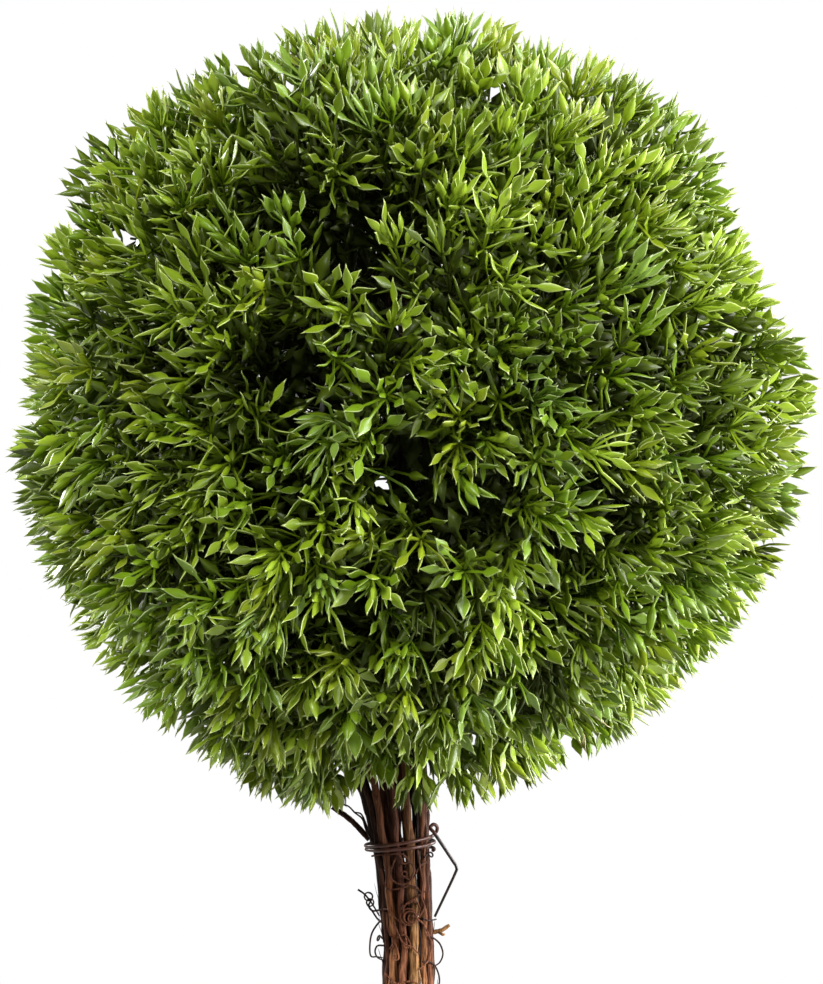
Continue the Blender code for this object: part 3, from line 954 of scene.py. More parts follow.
@dataclass
class Trunk:
    """The bundle of vines, from the soil to the flat underside of the crown's core.

    Attributes:
        soil_top: The height of its foot.
        core_plane: The height of its top.
        barks: The material of each tone of bark.
    """

    soil_top: float
    core_plane: float
    barks: dict[BarkTone, Material]
    waist_radius: float = 0.0108
    waist_height: float = 0.302
    base_flare: float = 0.30
    fan_spread: float = 0.60
    fan_curve: float = 1.5
    twist: float = math.radians(38)
    lean: float = -0.0085
    lean_curve: float = 1.15
    splay: float = 0.0050  # how far left of the fan the leftmost vines end
    splay_from: float = 0.344  # the upper tie's height
    outer_radii_mm: tuple[float, ...] = (2.0, 1.7, 2.1, 1.3, 1.8, 2.1, 1.2, 1.9, 1.6, 2.1, 1.4, 1.9, 1.7)
    inner_ring_radius: float = 0.0042
    inner_ring_count: int = 5
    inner_vine_radius: float = 0.0018
    inner_fan: float = 0.4
    fan_shares: Limits = (0.6, 1.4)
    taper: float = 0.20
    rings: int = 10
    tip_room: float = 0.5
    foot: float = 0.004
    seed: int = 3
    ring_step: float = 0.0012  # between the rings of the finished bark
    joint_spacing: float = 0.058  # between the swollen joints of a vine
    joint_width: float = 0.0035
    joint_swell: float = 0.16
    wander: float = 0.0003  # how far a vine strays from its smooth line
    waves: tuple[Limits, ...] = ((210, 480), (190, 530))  # the long and the short one of that, along X and Y
    short_wave: float = 0.6  # share of the long one's height
    # ridges and splits: size, stretch, and depth as a share of the vine's radius
    reliefs: tuple[Step, ...] = ((0.0016, 9.0, 0.32), (0.0006, 12.0, 0.22))
    peel_count: int = 110
    peel_ends: Limits = (0.010, 0.035)  # of the trunk's foot and top that has no peels
    peel_turn: float = 1.1  # how far round its vine a peel may be
    peel_seat: float = 0.95  # share of the vine's radius at which it starts
    peel_sizes: tuple[Limits, ...] = ((0.5, 1.1), (0.4, 1.4), (0.5, 1.5))
    peel_length: float = 0.013
    peel_step: float = 0.01  # over which its vine's direction is taken

    def __post_init__(self) -> None:
        """Works out where the vines are."""
        self.first_ring = self.soil_top + GAP + self.foot
        self.model_step = (self.core_plane - self.first_ring) / self.rings
        self.vines = self.places()
        self.outer = self.vines[self.inner_ring_count + 1 :]

    def above_waist(self, height: float) -> float:
        """How far a height is from the waist up to the core, as a share. It is 0 below the waist."""
        return max(0.0, (height - self.waist_height) / (self.core_plane - self.waist_height))

    def line(self, height: float) -> Vector:
        """The middle of the bundle at a height."""
        return Vector((self.lean * self.above_waist(height) ** self.lean_curve, 0.0, height))

    def spread(self, height: float) -> float:
        """How wide the bundle stands at a height, as a share of its waist."""
        below = max(0.0, (self.waist_height - height) / (self.waist_height - self.soil_top))
        return 1 + self.base_flare * below + self.fan_spread * self.above_waist(height) ** self.fan_curve

    def places(self) -> list[Vine]:
        """The vines by the source's rule: one in the middle, a ring round it and the outer ring.

        Returns:
            The vines in the order of their nodes.
        """
        rng = random.Random(self.seed)
        found = [Vine(self.inner_vine_radius, 0.0, 0.0, self.inner_fan)]
        for i in range(self.inner_ring_count):
            angle = math.tau * i / self.inner_ring_count
            found.append(Vine(self.inner_vine_radius, self.inner_ring_radius, angle, self.inner_fan))
        radii = [size / 1000 for size in self.outer_radii_mm]
        widths = [2 * math.asin(radius / (self.waist_radius - radius)) for radius in radii]
        room = (math.tau - sum(widths)) / len(radii)
        angle = 0.0
        for radius, width in zip(radii, widths):
            angle += width / 2
            found.append(Vine(radius, self.waist_radius - radius, angle, rng.uniform(*self.fan_shares)))
            angle += width / 2 + room
        return found

    def vine_radius(self, vine: Vine, height: float) -> float:
        """A vine's radius at a height: it thins towards its tip."""
        return vine.radius * (1 - self.taper * (height - self.soil_top) / (self.core_plane - self.soil_top))

    def vine_curve(self, vine: Vine, height: float) -> Vector:
        """The middle of a vine at a height, on its smooth line.

        Args:
            vine: The vine.
            height: The height.

        Returns:
            The point.
        """
        share = (height - self.soil_top) / (self.core_plane - self.soil_top)
        turn = vine.angle + self.twist * share
        out = vine.distance * (1 + (self.spread(height) - 1) * vine.fan)
        freed = max(0.0, (height - self.splay_from) / (self.core_plane - self.splay_from))
        aside = self.splay * freed * min(0.0, math.cos(turn)) * (vine.distance > self.inner_ring_radius)
        return self.line(height) + Vector((out * math.cos(turn) + aside, out * math.sin(turn), 0.0))

    def vine_point(self, vine: Vine, height: float) -> Vector:
        """The middle of a vine at a height, on its straight runs in the model.

        Args:
            vine: The vine.
            height: The height.

        Returns:
            The point.
        """
        steps = (height - self.first_ring) / self.model_step
        ring = min(max(math.floor(steps), 0), self.rings - 1)
        heights = (self.first_ring + self.model_step * i for i in (ring, ring + 1))
        below, above = (self.vine_curve(vine, at) for at in heights)
        return below.lerp(above, max(0.0, steps - ring))

    def reach(self, height: float) -> float:
        """Distance from the bundle's middle to its outside at a height."""
        line, point, radius = self.line(height), self.vine_point, self.vine_radius
        return max((point(vine, height) - line).length + radius(vine, height) for vine in self.vines)

    def seat(self, azimuth: float, height: float, radius: float) -> Vector:
        """Where a tendril or spur leaves the trunk, beside the outer vine nearest an azimuth.

        Args:
            azimuth: The direction from the trunk's middle.
            height: The height.
            radius: The tendril's radius.

        Returns:
            Its first point.
        """
        line, bearing = self.line(height), polar(1.0, azimuth)
        nearest = max(self.outer, key=lambda vine: (self.vine_point(vine, height) - line).dot(bearing))
        middle = self.vine_point(nearest, height)
        return middle + (middle - line).normalized() * (self.vine_radius(nearest, height) + radius + GAP)

    def tone(self, index: int) -> BarkTone:
        """The bark of a vine: the front ones as the photograph shows them, the rest by turns."""
        return BarkTone[FRONT_TONES.get(index, OTHER_TONES[index % len(OTHER_TONES)])]

    def vine_line(self, vine: Vine, rng: random.Random) -> Line:
        """A vine with its swollen joints and its wander.

        Args:
            vine: The vine.
            rng: The source of its irregularities.

        Returns:
            Its points and radii from the soil to its tip.
        """
        first = self.soil_top - GAP
        last = self.core_plane - GAP - vine.radius * self.tip_room
        count = round((last - first) / self.ring_step)
        starts = [rng.uniform(0, math.tau) for _ in range(4)]
        joint, half = rng.uniform(0, self.joint_spacing), self.joint_spacing / 2
        points, radii = [], []
        for i in range(count + 1):
            height = first + (last - first) * i / count
            stray = [
                math.sin(height * long + start) + self.short_wave * math.sin(height * short + short_start)
                for (long, short), start, short_start in zip(self.waves, starts[::2], starts[1::2])
            ]
            points.append(self.vine_curve(vine, height) + Vector((*stray, 0.0)) * self.wander)
            off_joint = (height - joint + half) % self.joint_spacing - half
            swell = 1 + self.joint_swell * math.exp(-((off_joint / self.joint_width) ** 2))
            radii.append(self.vine_radius(vine, height) * swell)
        return points, radii

    def build(self) -> int:
        """Builds the vines with their bark, and the strips that peel off them.

        Returns:
            How many pieces were made.
        """
        rng = random.Random(self.seed + 1)
        for index, vine in enumerate(self.vines, 1):
            outer = vine in self.outer
            line = self.vine_line(vine, rng)
            piece = tubes(f"bark_vine_{index:02d}", [line], roundness=10 if outer else 3)
            for size, stretch, share in self.reliefs if outer else self.reliefs[:1]:
                relief(piece, size, stretch, vine.radius * share)
            smooth(piece, degrees=60.0)
            dress(piece, self.barks[self.tone(index)], "bark", f"vine_{index:02d}")
        return len(self.vines) + self.peels(rng)

    def peels(self, rng: random.Random) -> int:
        """Builds strips of bark whose free ends stand off the outer vines.

        Args:
            rng: The source of their places.

        Returns:
            How many pieces were made.
        """
        strips: dict[BarkTone, list[np.ndarray]] = {}
        outer = list(enumerate(self.outer, self.inner_ring_count + 2))
        rings = [(*ring, i / len(PEEL_RINGS)) for i, ring in enumerate(PEEL_RINGS)]
        shape = blade("peel", self.peel_length, rings, fold=0.0, soft=50.0)
        low, high = self.peel_ends
        for _ in range(self.peel_count):
            index, vine = rng.choice(outer)
            height = rng.uniform(self.soil_top + low, self.core_plane - high)
            middle = self.vine_curve(vine, height)
            away = (middle - self.line(height)).normalized()
            away = Matrix.Rotation(rng.uniform(-self.peel_turn, self.peel_turn), 3, "Z") @ away
            start = middle + away * self.vine_radius(vine, height) * self.peel_seat
            along = (self.vine_curve(vine, height + self.peel_step) - middle).normalized()
            along *= rng.choice((-1, 1))
            size = [rng.uniform(*limits) for limits in self.peel_sizes]
            strips.setdefault(self.tone(index), []).append(placed(start, along, away, size))
        for tone, frames in strips.items():
            piece = copied(f"bark_peel_{tone.name.lower()}", [(shape, np.array(frames))])
            dress(piece, self.barks[tone], "bark")
        return len(strips)


# Ties, spurs and tendrils


@dataclass(frozen=True)
class Tie:
    """Where the turns of a tie are.

    Attributes:
        height: The height of their middle.
        slope: How they slope with X.
        start: The azimuth where they start.
    """

    height: float
    slope: float
    start: float


@dataclass(frozen=True)
class Tendril:
    """A dry tendril as the front shows it.

    Attributes:
        knots: The points that it passes, across and up by turns, in millimetres.
        ring: The radius of the ring that it ends in.
        turns: How many turns the ring has.
        ring_side: 1 where the ring turns to the left of the tendril's heading, or -1.
        closing: How much of its radius the ring loses.
        lift: How far the tendril stands off the bark.
    """

    knots: tuple[float, ...]
    ring: float = 0.0
    turns: float = 0.0
    ring_side: int = 1
    closing: float = 0.3
    lift: float = 0.0


TENDRILS = {
    "tendril_top_left": (
        Tendril((-15.0, 345.0, -17.5, 349.2, -19.0, 353.4, -22.1, 355.7, -25.2, 358.6, -29.4, 359.1)),
        Tendril((-16.0, 347.0, -17.6, 352.0, -19.5, 355.4, -22.1, 355.9)),
    ),
    "tendril_left_curl": (
        Tendril((-11.0, 311.2, -12.8, 311.8, -14.9, 314.9, -17.0, 317.6), 0.0016, 1.1, -1, 0.1),
        Tendril((-10.5, 316.6, -14.7, 315.1, -16.4, 317.2, -15.0, 320.2), 0.0018, 1.3, 1, 0.1),
        Tendril((-20.9, 323.9, -18.5, 322.3, -16.6, 320.2, -14.6, 317.4, -12.0, 313.0)),
    ),
    "tendril_left_bow": (
        Tendril(
            (-11.0, 310.9, -12.1, 310.4, -14.9, 306.3, -15.9, 301.6, -15.6, 296.5, -13.0, 296.1, -10.8, 296.1)
        ),
        Tendril((-10.5, 304.2, -11.9, 304.8), 0.0013, 1.0),
        Tendril((-9.9, 301.5, -12.8, 300.6, -13.8, 298.3, -12.8, 295.8, -10.2, 295.2)),
    ),
    "tendril_right_bow": (
        Tendril((8.6, 305.2, 9.8, 304.9, 12.9, 301.6, 14.3, 297.5, 13.1, 293.9, 10.6, 292.6)),
        Tendril((5.8, 295.4, 8.9, 294.9, 11.5, 291.5, 12.9, 286.1, 11.0, 280.5)),
        Tendril((7.0, 343.6, 8.9, 342.7), 0.0012, 1.1),
        Tendril((6.5, 338.2, 8.6, 339.8), 0.0012, 1.2, -1),
        Tendril((6.0, 313.0, 8.5, 311.9, 11.5, 311.6)),
    ),
    "tendril_front_high": (
        Tendril(
            (-11.2, 333.4, -9.9, 327.5, -7.6, 325.2, -3.0, 325.8)
            + (1.2, 326.9, 4.0, 325.2, 6.4, 321.0, 6.7, 316.7)
        ),
        Tendril(
            (-5.3, 338.3, -7.1, 333.2, -6.8, 329.6, -3.5, 327.5, 0.5, 328.5, 2.2, 332.2),
            *(0.0034, 0.8, 1, 0.2, 0.0004),
        ),
        Tendril((3.8, 341.4, 5.0, 332.7, 5.9, 327.5, 5.4, 322.3, 6.5, 317.7, 3.8, 312.8), lift=0.0008),
        Tendril((-15.0, 338.3, -11.8, 339.4, -7.6, 339.7, -3.0, 340.1, -0.6, 338.4), 0.0016, 1.2, -1),
        Tendril((7.5, 336.0, 4.5, 334.5, 1.5, 329.5, -2.0, 330.6), 0.0014, 0.8, -1),
        Tendril((-1.0, 319.4, 2.8, 320.4, 4.6, 317.6, 3.4, 313.2), 0.0038, 2.6, -1, 0.55, 0.0008),
        Tendril((6.8, 324.0, 3.0, 322.0, -1.6, 318.5, -2.0, 314.0), 0.0030, 1.6, 1, 0.3, 0.0004),
    ),
    "tendril_front_low": (
        Tendril((-11.4, 316.1, -8.4, 316.8, -6.6, 314.9, -3.5, 312.0, 0.0, 311.0)),
        Tendril((-8.9, 315.5, -8.0, 307.8, -5.3, 302.9, -3.9, 297.7), 0.0014, 0.9, -1),
        Tendril((-6.1, 311.9, -2.4, 303.7, 1.7, 301.6, 4.6, 298.4), lift=0.0005),
        Tendril((-7.5, 300.5, -4.0, 305.6, -1.2, 306.4, 0.6, 303.4), 0.0017, 0.7, -1),
        Tendril((1.5, 314.0, 6.0, 311.0, 9.2, 303.0, 8.4, 296.0, 4.0, 292.0), lift=0.0004),
        Tendril((-9.5, 290.0, -5.0, 286.5, 1.5, 287.5, 6.5, 283.5, 9.6, 277.0)),
        Tendril((-9.0, 268.0, -4.0, 272.0, 2.0, 270.5, 6.0, 274.5), 0.0022, 1.2, 1),
    ),
}


@dataclass
class Bindings:
    """The wire ties round the trunk, and the spurs and tendrils that stand off it."""

    trunk: Trunk
    wire_radius: float = 0.00075
    turns: int = 2
    steps: int = 40
    pitch: float = 0.0023
    splay: float = 0.34  # how much wider that is on the right, and narrower on the left
    upper: Tie = Tie(UPPER_TIE, math.tan(math.radians(6)), math.radians(-15))
    lower: Tie = Tie(0.172, math.tan(math.radians(-6)), math.radians(205))
    tail_azimuth: float = math.radians(-12)
    tail_drop: float = 0.021
    tail_room: float = 1.6
    tail_share: float = 0.7  # of the wire's radius at its tail's end
    tail_spans: int = 8  # between each two knots of the upper tail
    roundness: int = 4
    shoot_height: float = 0.345
    shoot_radius: float = 0.0012
    shoot_end: float = 0.9  # share of that radius at its cut end
    stub_height: float = 0.3065
    stub_radius: float = 0.0010
    prong_shares: Limits = (0.8, 0.45)  # of the stub's radius at the prong's foot and end
    tendril_radius: float = 0.0005
    tendril_share: float = 0.85  # of that radius that the finished tendrils have
    tendril_seat: float = 0.5  # share of it that their middle lies off the bark
    thinning: float = 0.7
    curl_steps: int = 12
    curl_rise: float = 0.0004  # how much further out each turn of a ring is

    def tie_turns(self, tie: Tie) -> list[Vector]:
        """The points of a tie's turns.

        Args:
            tie: Where they are.

        Returns:
            The points.
        """
        trunk, points = self.trunk, []
        for i in range(self.steps * self.turns + 1):
            angle = tie.start + math.tau * i / self.steps
            climb = self.pitch * (i / self.steps - self.turns / 2) * (1 + self.splay * math.cos(angle))
            middle = trunk.line(tie.height + trunk.waist_radius * math.cos(angle) * tie.slope + climb)
            reach = trunk.reach(middle.z + self.wire_radius) + self.wire_radius + GAP
            points.append(middle + polar(reach, angle))
        return points

    def wire(self, points: list[Vector], end_share: float = 1.0) -> Line:
        """A length of the wire, which thins to a share of its radius."""
        return tapered(points, self.wire_radius, self.wire_radius * end_share)

    def build_ties(self, coated: Material, bare: Material) -> int:
        """Builds both ties.

        Args:
            coated: The wire's material.
            bare: That of its tail, which has lost its coat.

        Returns:
            How many pieces were made.
        """
        points = self.tie_turns(self.upper)
        end = points[-1]
        loop = stepped(end, (1.5, 0.4, 1.8), (1.6, -0.4, 3.8), (0.1, -1.0, 4.7), (-1.1, -1.6, 3.2))
        out, corner = stepped(end, (1, -2.4, 0.6), (9.5, -2, -12.5))
        bend = stepped(corner, (-1.6, 0, 2.6), (0.1, 0, -0.4), (-0.7, 0, -3.6))
        room = self.wire_radius * self.tail_room
        foot = self.trunk.seat(self.tail_azimuth, corner.z - self.tail_drop, room)
        line = smooth_line([end, *loop, out, *bend, foot], self.tail_spans)
        bared = self.tail_spans * (len(loop) + 1)
        upper = self.wire(points + line[1 : bared + 1])
        tail = self.wire(line[bared:], self.tail_share)
        points = self.tie_turns(self.lower)
        end = smooth_line(stepped(points[-1], (0, 0, 0), (-1.2, -0.8, 2), (-2, -1.5, 6)), steps=6)[1:]
        radii = self.wire(points)[1] + self.wire(end, self.tail_share)[1]
        dress(tubes("wire_upper", [upper], self.roundness), coated, "wire", "tie_upper")
        dress(tubes("wire_tail", [tail], self.roundness), bare, "wire", "tie_upper")
        dress(tubes("wire_lower", [(points + end, radii)], self.roundness), coated, "wire", "tie_lower")
        return 3

    def build_spurs(self) -> int:
        """Builds the cut side shoot and the broken stub, which forks.

        Returns:
            How many pieces were made.
        """
        thick, thin = self.shoot_radius, self.stub_radius
        foot = self.trunk.seat(math.pi, self.shoot_height, thick)
        start, cut = stepped(foot, (1, 0, -1), (-14.5, 1, 12.5))
        shoot = smooth_line([start, (foot + cut) / 2 + mm(0.5, 0, 0.8), cut], steps=12)
        stub = self.trunk.seat(0.0, self.stub_height, thin)
        main = smooth_line(stepped(stub, (-1, 0, -0.5), (2.4, -0.4, 0.4), (5.5, -1, 2.5)), steps=8)
        prong = smooth_line(stepped(stub, (0.5, -0.2, 0.2), (2.6, -1.2, -1.2), (3.6, -1.6, -1.3)), steps=5)
        ends = (thin * share for share in self.prong_shares)
        fork = [tapered(main, thin, thin * self.thinning), tapered(prong, *ends)]
        spurs = {
            "spur_left": (BarkTone.UMBER, [tapered(shoot, thick, thick * self.shoot_end)]),
            "spur_right": (BarkTone.TAN, fork),
        }
        for name, (tone, lines) in spurs.items():
            piece = tubes(f"bark_{name}", lines, roundness=6)
            relief(piece, size=0.0009, stretch=3.0, strength=thin / 2)
            smooth(piece, degrees=60.0)
            dress(piece, self.trunk.barks[tone], "bark", name)
        return len(spurs)

    def lay(self, across: float, height: float, lift: float) -> Vector:
        """A point on the front of the trunk, or beside it.

        Args:
            across: How far right of the plant's middle the front shows it.
            height: Its height.
            lift: How far it stands off the bark.

        Returns:
            The point.
        """
        middle = self.trunk.line(height)
        reach = self.trunk.reach(height) + self.tendril_radius * self.tendril_seat + lift
        return Vector((across, -math.sqrt(max(0.0, reach**2 - (across - middle.x) ** 2)), height))

    def tendril_line(self, route: Tendril) -> Line:
        """A tendril's points and radii.

        Args:
            route: The tendril as the front shows it.

        Returns:
            The line.
        """
        knots = zip(route.knots[::2], route.knots[1::2])
        points = smooth_line([self.lay(x / 1000, z / 1000, route.lift) for x, z in knots], steps=6)
        start, heading = points[-1], (points[-1] - points[-2]).normalized()
        side = Vector((0.0, -1.0, 0.0)).cross(heading).normalized() * route.ring_side
        steps = round(self.curl_steps * route.turns)
        for i in range(1, steps + 1):
            angle = math.tau * i / self.curl_steps
            radius = route.ring * (1 - route.closing * i / steps)
            middle = start + side * radius
            round_it = heading * math.sin(angle) - side * math.cos(angle)
            out = Vector((0.0, self.curl_rise * i / self.curl_steps, 0.0))
            points.append(middle + round_it * radius - out)
        radius = self.tendril_radius * self.tendril_share
        return tapered(points, radius, radius * self.thinning)

    def build_tendrils(self) -> int:
        """Builds the dry tendrils: reddish ones on the bark, and darker ones that stand off it.

        Returns:
            How many pieces were made.
        """
        for name, routes in TENDRILS.items():
            tone = BarkTone.RED if name.startswith("tendril_front") else BarkTone.BLACK
            piece = tubes(f"dry_{name}", [self.tendril_line(route) for route in routes], roundness=2)
            dress(piece, self.trunk.barks[tone], "bark", name)
        return len(TENDRILS)


# Crown


@dataclass(frozen=True)
class LeafShape:
    """One kind of moulded leaf: a stiff stalk that widens to a plump blade with a drawn-out tip.

    Attributes:
        length: Its length with the stalk.
        width: Its blade's greatest width.
        shoulder: Where the stalk ends, as a share of the length.
        bend: How far its middle sags away from the face, as a share of its length.
        fold: How far the blade's edges stand over its middle, as a share of its half width.
        detail: How many of the outline's finer rings it has, from 0 to 2.
        stalk: The stalk's width.
        thick: The stalk's thickness.
        neck: The stalk's width at the blade, as a share of its width at its foot.
        outline: Each of the blade's rings: its share of the blade's length, of its width and of the
            stalk's thickness, and the least detail that has it.
        tip: Which share of the blade is its tip, which takes the lighter rim material: a painted highlight.
    """

    length: float
    width: float
    shoulder: float
    bend: float
    fold: float
    detail: int = 2
    stalk: float = 0.0012
    thick: float = 0.0009
    neck: float = 0.92
    outline: tuple[tuple[float, float, float, int], ...] = (
        (0.15, 0.78, 0.90, 1),
        (0.36, 1.00, 0.85, 0),
        (0.60, 0.66, 0.75, 2),
        (0.80, 0.23, 0.55, 1),
    )
    tip: float = 0.20

    def pattern(self, name: str) -> Pattern:
        """Models the leaf along +Z with its face towards +Y.

        Args:
            name: Its name while it is modelled.

        Returns:
            The shape.
        """
        rest = 1 - self.shoulder
        sizes = [(self.stalk, self.thick, 0.0), (self.stalk * self.neck, self.thick, self.shoulder)]
        for share, wide, deep, least in self.outline:
            if self.detail >= least:
                sizes.append((self.width * wide, self.thick * deep, self.shoulder + share * rest))
        rings = [(wide, deep, self.sag(share), share) for wide, deep, share in sizes]
        tip_share = 1 - self.tip * rest if self.detail else 1.0
        section = RIMMED if self.detail > 1 else KEELED
        return blade(name, self.length, rings, self.fold, ROUND, tip_share, section)

    def sag(self, share: float) -> float:
        """How far the leaf's middle is from its chord at a share of its length."""
        return -self.bend * self.length * math.sin(math.pi * share)


class LeafKind(Enum):
    """The leaves that the sprays are moulded with."""

    BROAD = LeafShape(0.0208, 0.0048, 0.50, 0.05, 0.08)
    SLIM = LeafShape(0.0218, 0.0037, 0.48, 0.08, 0.12)
    CURVED = LeafShape(0.0198, 0.0044, 0.51, 0.13, 0.15)
    SECOND = LeafShape(0.0208, 0.0044, 0.50, 0.07, 0.20, 1)
    PLAIN = LeafShape(0.0225, 0.0060, 0.42, 0.06, 0.20, 0)


@dataclass(frozen=True)
class Whorl:
    """A ring of leaves that lean out from a stem.

    Attributes:
        count: How many leaves it has.
        tilts: The least and most angle between a leaf and the stem.
        size: Their scale.
        look: Their green and their shape.
    """

    count: int
    tilts: Limits
    size: float
    look: tuple[Tint, LeafKind] = (Tint.SHADE, LeafKind.PLAIN)


SPRAY_TINTS = {  # each green, and the share of the sprays that have it or one before it
    Tint.DEEP: 0.06,
    Tint.MIDDLE: 0.28,
    Tint.GRASS: 0.47,
    Tint.FRESH: 0.65,
    Tint.LIME: 0.76,
    Tint.BRIGHT: 0.94,
    Tint.MINT: 0.998,
    Tint.BROWNED: 1.0,
}
# Each whorl below a shoot's last one steps one green down this scale: painted shade deeper in the crown.
DEEPER = (Tint.BRIGHT, Tint.FRESH, Tint.MIDDLE, Tint.DEEP, Tint.SHADE)
TOP_KINDS = (LeafKind.BROAD, LeafKind.SLIM, LeafKind.SLIM, LeafKind.CURVED)


@dataclass
class Crown:
    """The clipped ball: boughs from the vines' tips, twigs, shoots and whorls of leaves.

    Attributes:
        greens: The material of each tint.
        tips: The lighter material of its leaves' rims and tips, a painted highlight.
    """

    trunk: Trunk
    greens: dict[Tint, Material]
    tips: dict[Tint, Material]
    centre: Vector = field(default_factory=lambda: Vector((-0.001, 0.0, CROWN_HEIGHT)))
    radius: float = 0.167
    swells: tuple[Swell, ...] = (
        (0.011, (3.1, 0.0, 2.3), 0.4),
        (0.010, (-4.1, 5.3, 0.0), 1.7),
        (0.010, (0.0, 3.7, 6.1), 2.9),
    )
    swell_slant: float = 0.005
    lumps: tuple[Swell, ...] = (
        (0.017, (2.0, 1.5, 4.5), 0.88),
        (0.016, (8.0, -2.0, 3.0), 0.47),
        (0.019, (-1.0, 3.0, 9.5), 2.17),
        (0.014, (5.5, 2.5, 9.5), -1.69),
        (0.010, (-8.0, 4.0, 7.0), -2.92),
    )
    lump_slant: float = 0.012
    notch_depth: float = 0.075  # of the hollow over the leaning vines, as a share of the reach
    notch_side: float = -0.082  # where it is from side to side, as a direction's X
    notch_width: float = 0.045
    notch_low: float = 0.9  # how steeply down it starts, and over which range it deepens
    notch_range: float = 0.05
    gaps: tuple[Step, ...] = (
        (-0.0122, 0.0037, 0.0017),
        (-0.1186, 0.1060, 0.0017),
        (0.0342, 0.1656, 0.0015),
        (-0.0693, 0.1697, 0.0015),
        (-0.0511, 0.1689, 0.0014),
        (0.0259, -0.1039, 0.0010),
        (0.0635, -0.1027, 0.0008),
        (-0.1124, -0.0737, 0.0006),
        (0.1327, 0.0662, 0.0006),
    )  # where the front shows light through the crown: across and up from AIM, and the radius
    gap_room: float = 0.0013  # between a leaf's middle and a gap's edge
    bend_length: float = 0.015  # over which a bough bends out of a gap's way
    bend_more: float = 1.6  # times what it lacks, because it bends back before its ends
    seed: int = 7
    spray_count: int = 76
    skirt_count: int = 7
    skirt_angle: float = math.radians(17)
    skirt_room: float = 1.4
    skirt_shift: float = 0.15
    spray_shift: float = 0.3
    side_leaves: int = 4
    leaf_length: float = 0.038
    leaf_sizes: Limits = (0.9, 1.1)
    leaf_shift: float = 0.2
    leaf_spread: float = math.radians(42)
    spread_shares: Limits = (0.75, 1.25)
    leaf_roll: float = 0.35
    leaf_sunk: float = 0.002
    tip_leaf: float = 0.024
    twig_lean: float = 0.025
    root_depth: float = 0.008
    root_spacing: float = 0.009
    root_shares: Limits = (0.7, 1.3)
    limb_room: float = 0.0045
    leaf_room: float = 0.0022
    limb_knots: int = 16
    probes: int = 8
    foot_play: Limits = (0.9, 1.1)  # by which a bough misjudges how near a vine is
    rise_share: float = 0.6  # of its foot's distance from the Z axis, that a bough keeps as it rises
    rise_height: float = 0.40  # where the lowest boughs turn outwards
    rise_more: float = 0.10  # how much higher the topmost one does
    rise_bow: float = 0.55  # share of the way on to the fork, where the bough's next knot is
    shaded_whorl_places: Step = (0.35, 0.65, 0.95)  # of the whorls of inner leaves on the second way, dark green as painted shade
    # The inner whorls take the SHADE green, the darkest: painted shade.
    bough_whorl: Whorl = Whorl(6, (0.7, 1.3), 1.1)
    middle_whorl: Whorl = Whorl(5, (0.7, 1.2), 1.05)
    base_whorl: Whorl = Whorl(4, (0.6, 1.2), 1.15)
    fork_share: float = 0.42  # of the reach, where a bough forks into its spray's twigs
    base_share: float = 0.64  # of the reach, where a twig forks into its shoots
    twig_bow: float = 0.004
    shoot_count: int = 3
    shoot_aside: float = 0.0125  # from a source leaf's tip to the tips of its shoots
    shoot_shift: float = 0.2
    aside_shares: Limits = (0.6, 1.3)
    shoot_bow: float = 0.1
    shoot_lean: float = 0.28
    end_shares: Limits = (0.995, 1.025)
    node_spacing: float = 0.0125  # between the whorls of a shoot
    top_node: float = 0.0165  # from a shoot's reach down to its last whorl
    whorl_leaves: tuple[int, ...] = (7, 5, 4, 3)  # from the last whorl down
    whorl_sizes: Limits = (0.85, 1.08)
    whorl_shift: float = 0.25
    last_tilts: Limits = (0.15, 1.0)
    lower_tilts: Limits = (0.45, 1.1)
    dome_drop: float = 0.045  # how much lower a spray's outer shoots end, as a share of the reach
    dome_width: float = 0.21  # the angle in radians at which they do
    dome_most: float = 1.5  # the most of those angles that counts
    blade_sizes: Limits = (0.88, 1.1)
    blade_widths: Limits = (0.85, 1.15)
    least_leaf: float = 0.55  # scale under which a leaf is left out
    most_reach: float = 1.015  # share of the clipped reach that leaves may take up
    top_leaf: float = 0.85  # scale of the single leaf at a shoot's tip
    bough_radius: float = 0.0017
    twig_radius: float = 0.0012
    twig_end: float = 1.1  # its radius there, as a share of a shoot's
    shoot_radius: float = 0.00075
    shoot_end: float = 0.75  # share of that radius at its tip

    def __post_init__(self) -> None:
        """Prepares the limbs that leaves keep clear of, and the empty heaps of shapes."""
        trunk = self.trunk
        rise = (trunk.core_plane - UPPER_TIE) / self.limb_knots
        heights = [UPPER_TIE + rise * i for i in range(self.limb_knots + 1)]
        places = [(vine, height) for vine in trunk.vines for height in heights]
        self.limbs = [(trunk.vine_point(*place), trunk.vine_radius(*place)) for place in places]
        self.spots = [(Vector((across, up, 0.0)), radius) for across, up, radius in self.gaps]
        self.frames: dict[tuple[Tint, LeafKind], list[np.ndarray]] = {}
        self.boughs: list[Line] = []
        self.twigs: list[Line] = []
        self.shoots: dict[Tint, list[Line]] = {}
        self.fine = random.Random(self.seed + 1)

    def reach(self, direction: Vector) -> float:
        """Distance from the crown's centre to its leaf tips in a direction."""
        swell = waved(direction, self.swells) - self.swell_slant * (direction.x + direction.z)
        return self.radius * (1 + swell)

    def clipped_reach(self, direction: Vector) -> float:
        """The reach with the notch and the finer lumps that the finished leaves show.

        Args:
            direction: The direction from the crown's centre.

        Returns:
            The distance.
        """
        below = min(1.0, max(0.0, -direction.z - self.notch_low) / self.notch_range)
        beside = (direction.x - self.notch_side) / self.notch_width
        notch = self.notch_depth * below * math.exp(-(beside**2))
        lump = waved(direction, self.lumps)
        return self.reach(direction) * (1 + lump - self.lump_slant * direction.z - notch)

    def root_under(self, direction: Vector) -> Vector:
        """Where the source roots a twig or leaf, under the surface of its core.

        Args:
            direction: The direction from the crown's centre.

        Returns:
            The point.
        """
        ball = self.reach(direction) * CORE_RADIUS / self.radius
        if direction.z < 0:
            ball = min(ball, (self.trunk.core_plane - self.centre.z) / direction.z)
        return self.centre + direction * (ball - self.root_depth)

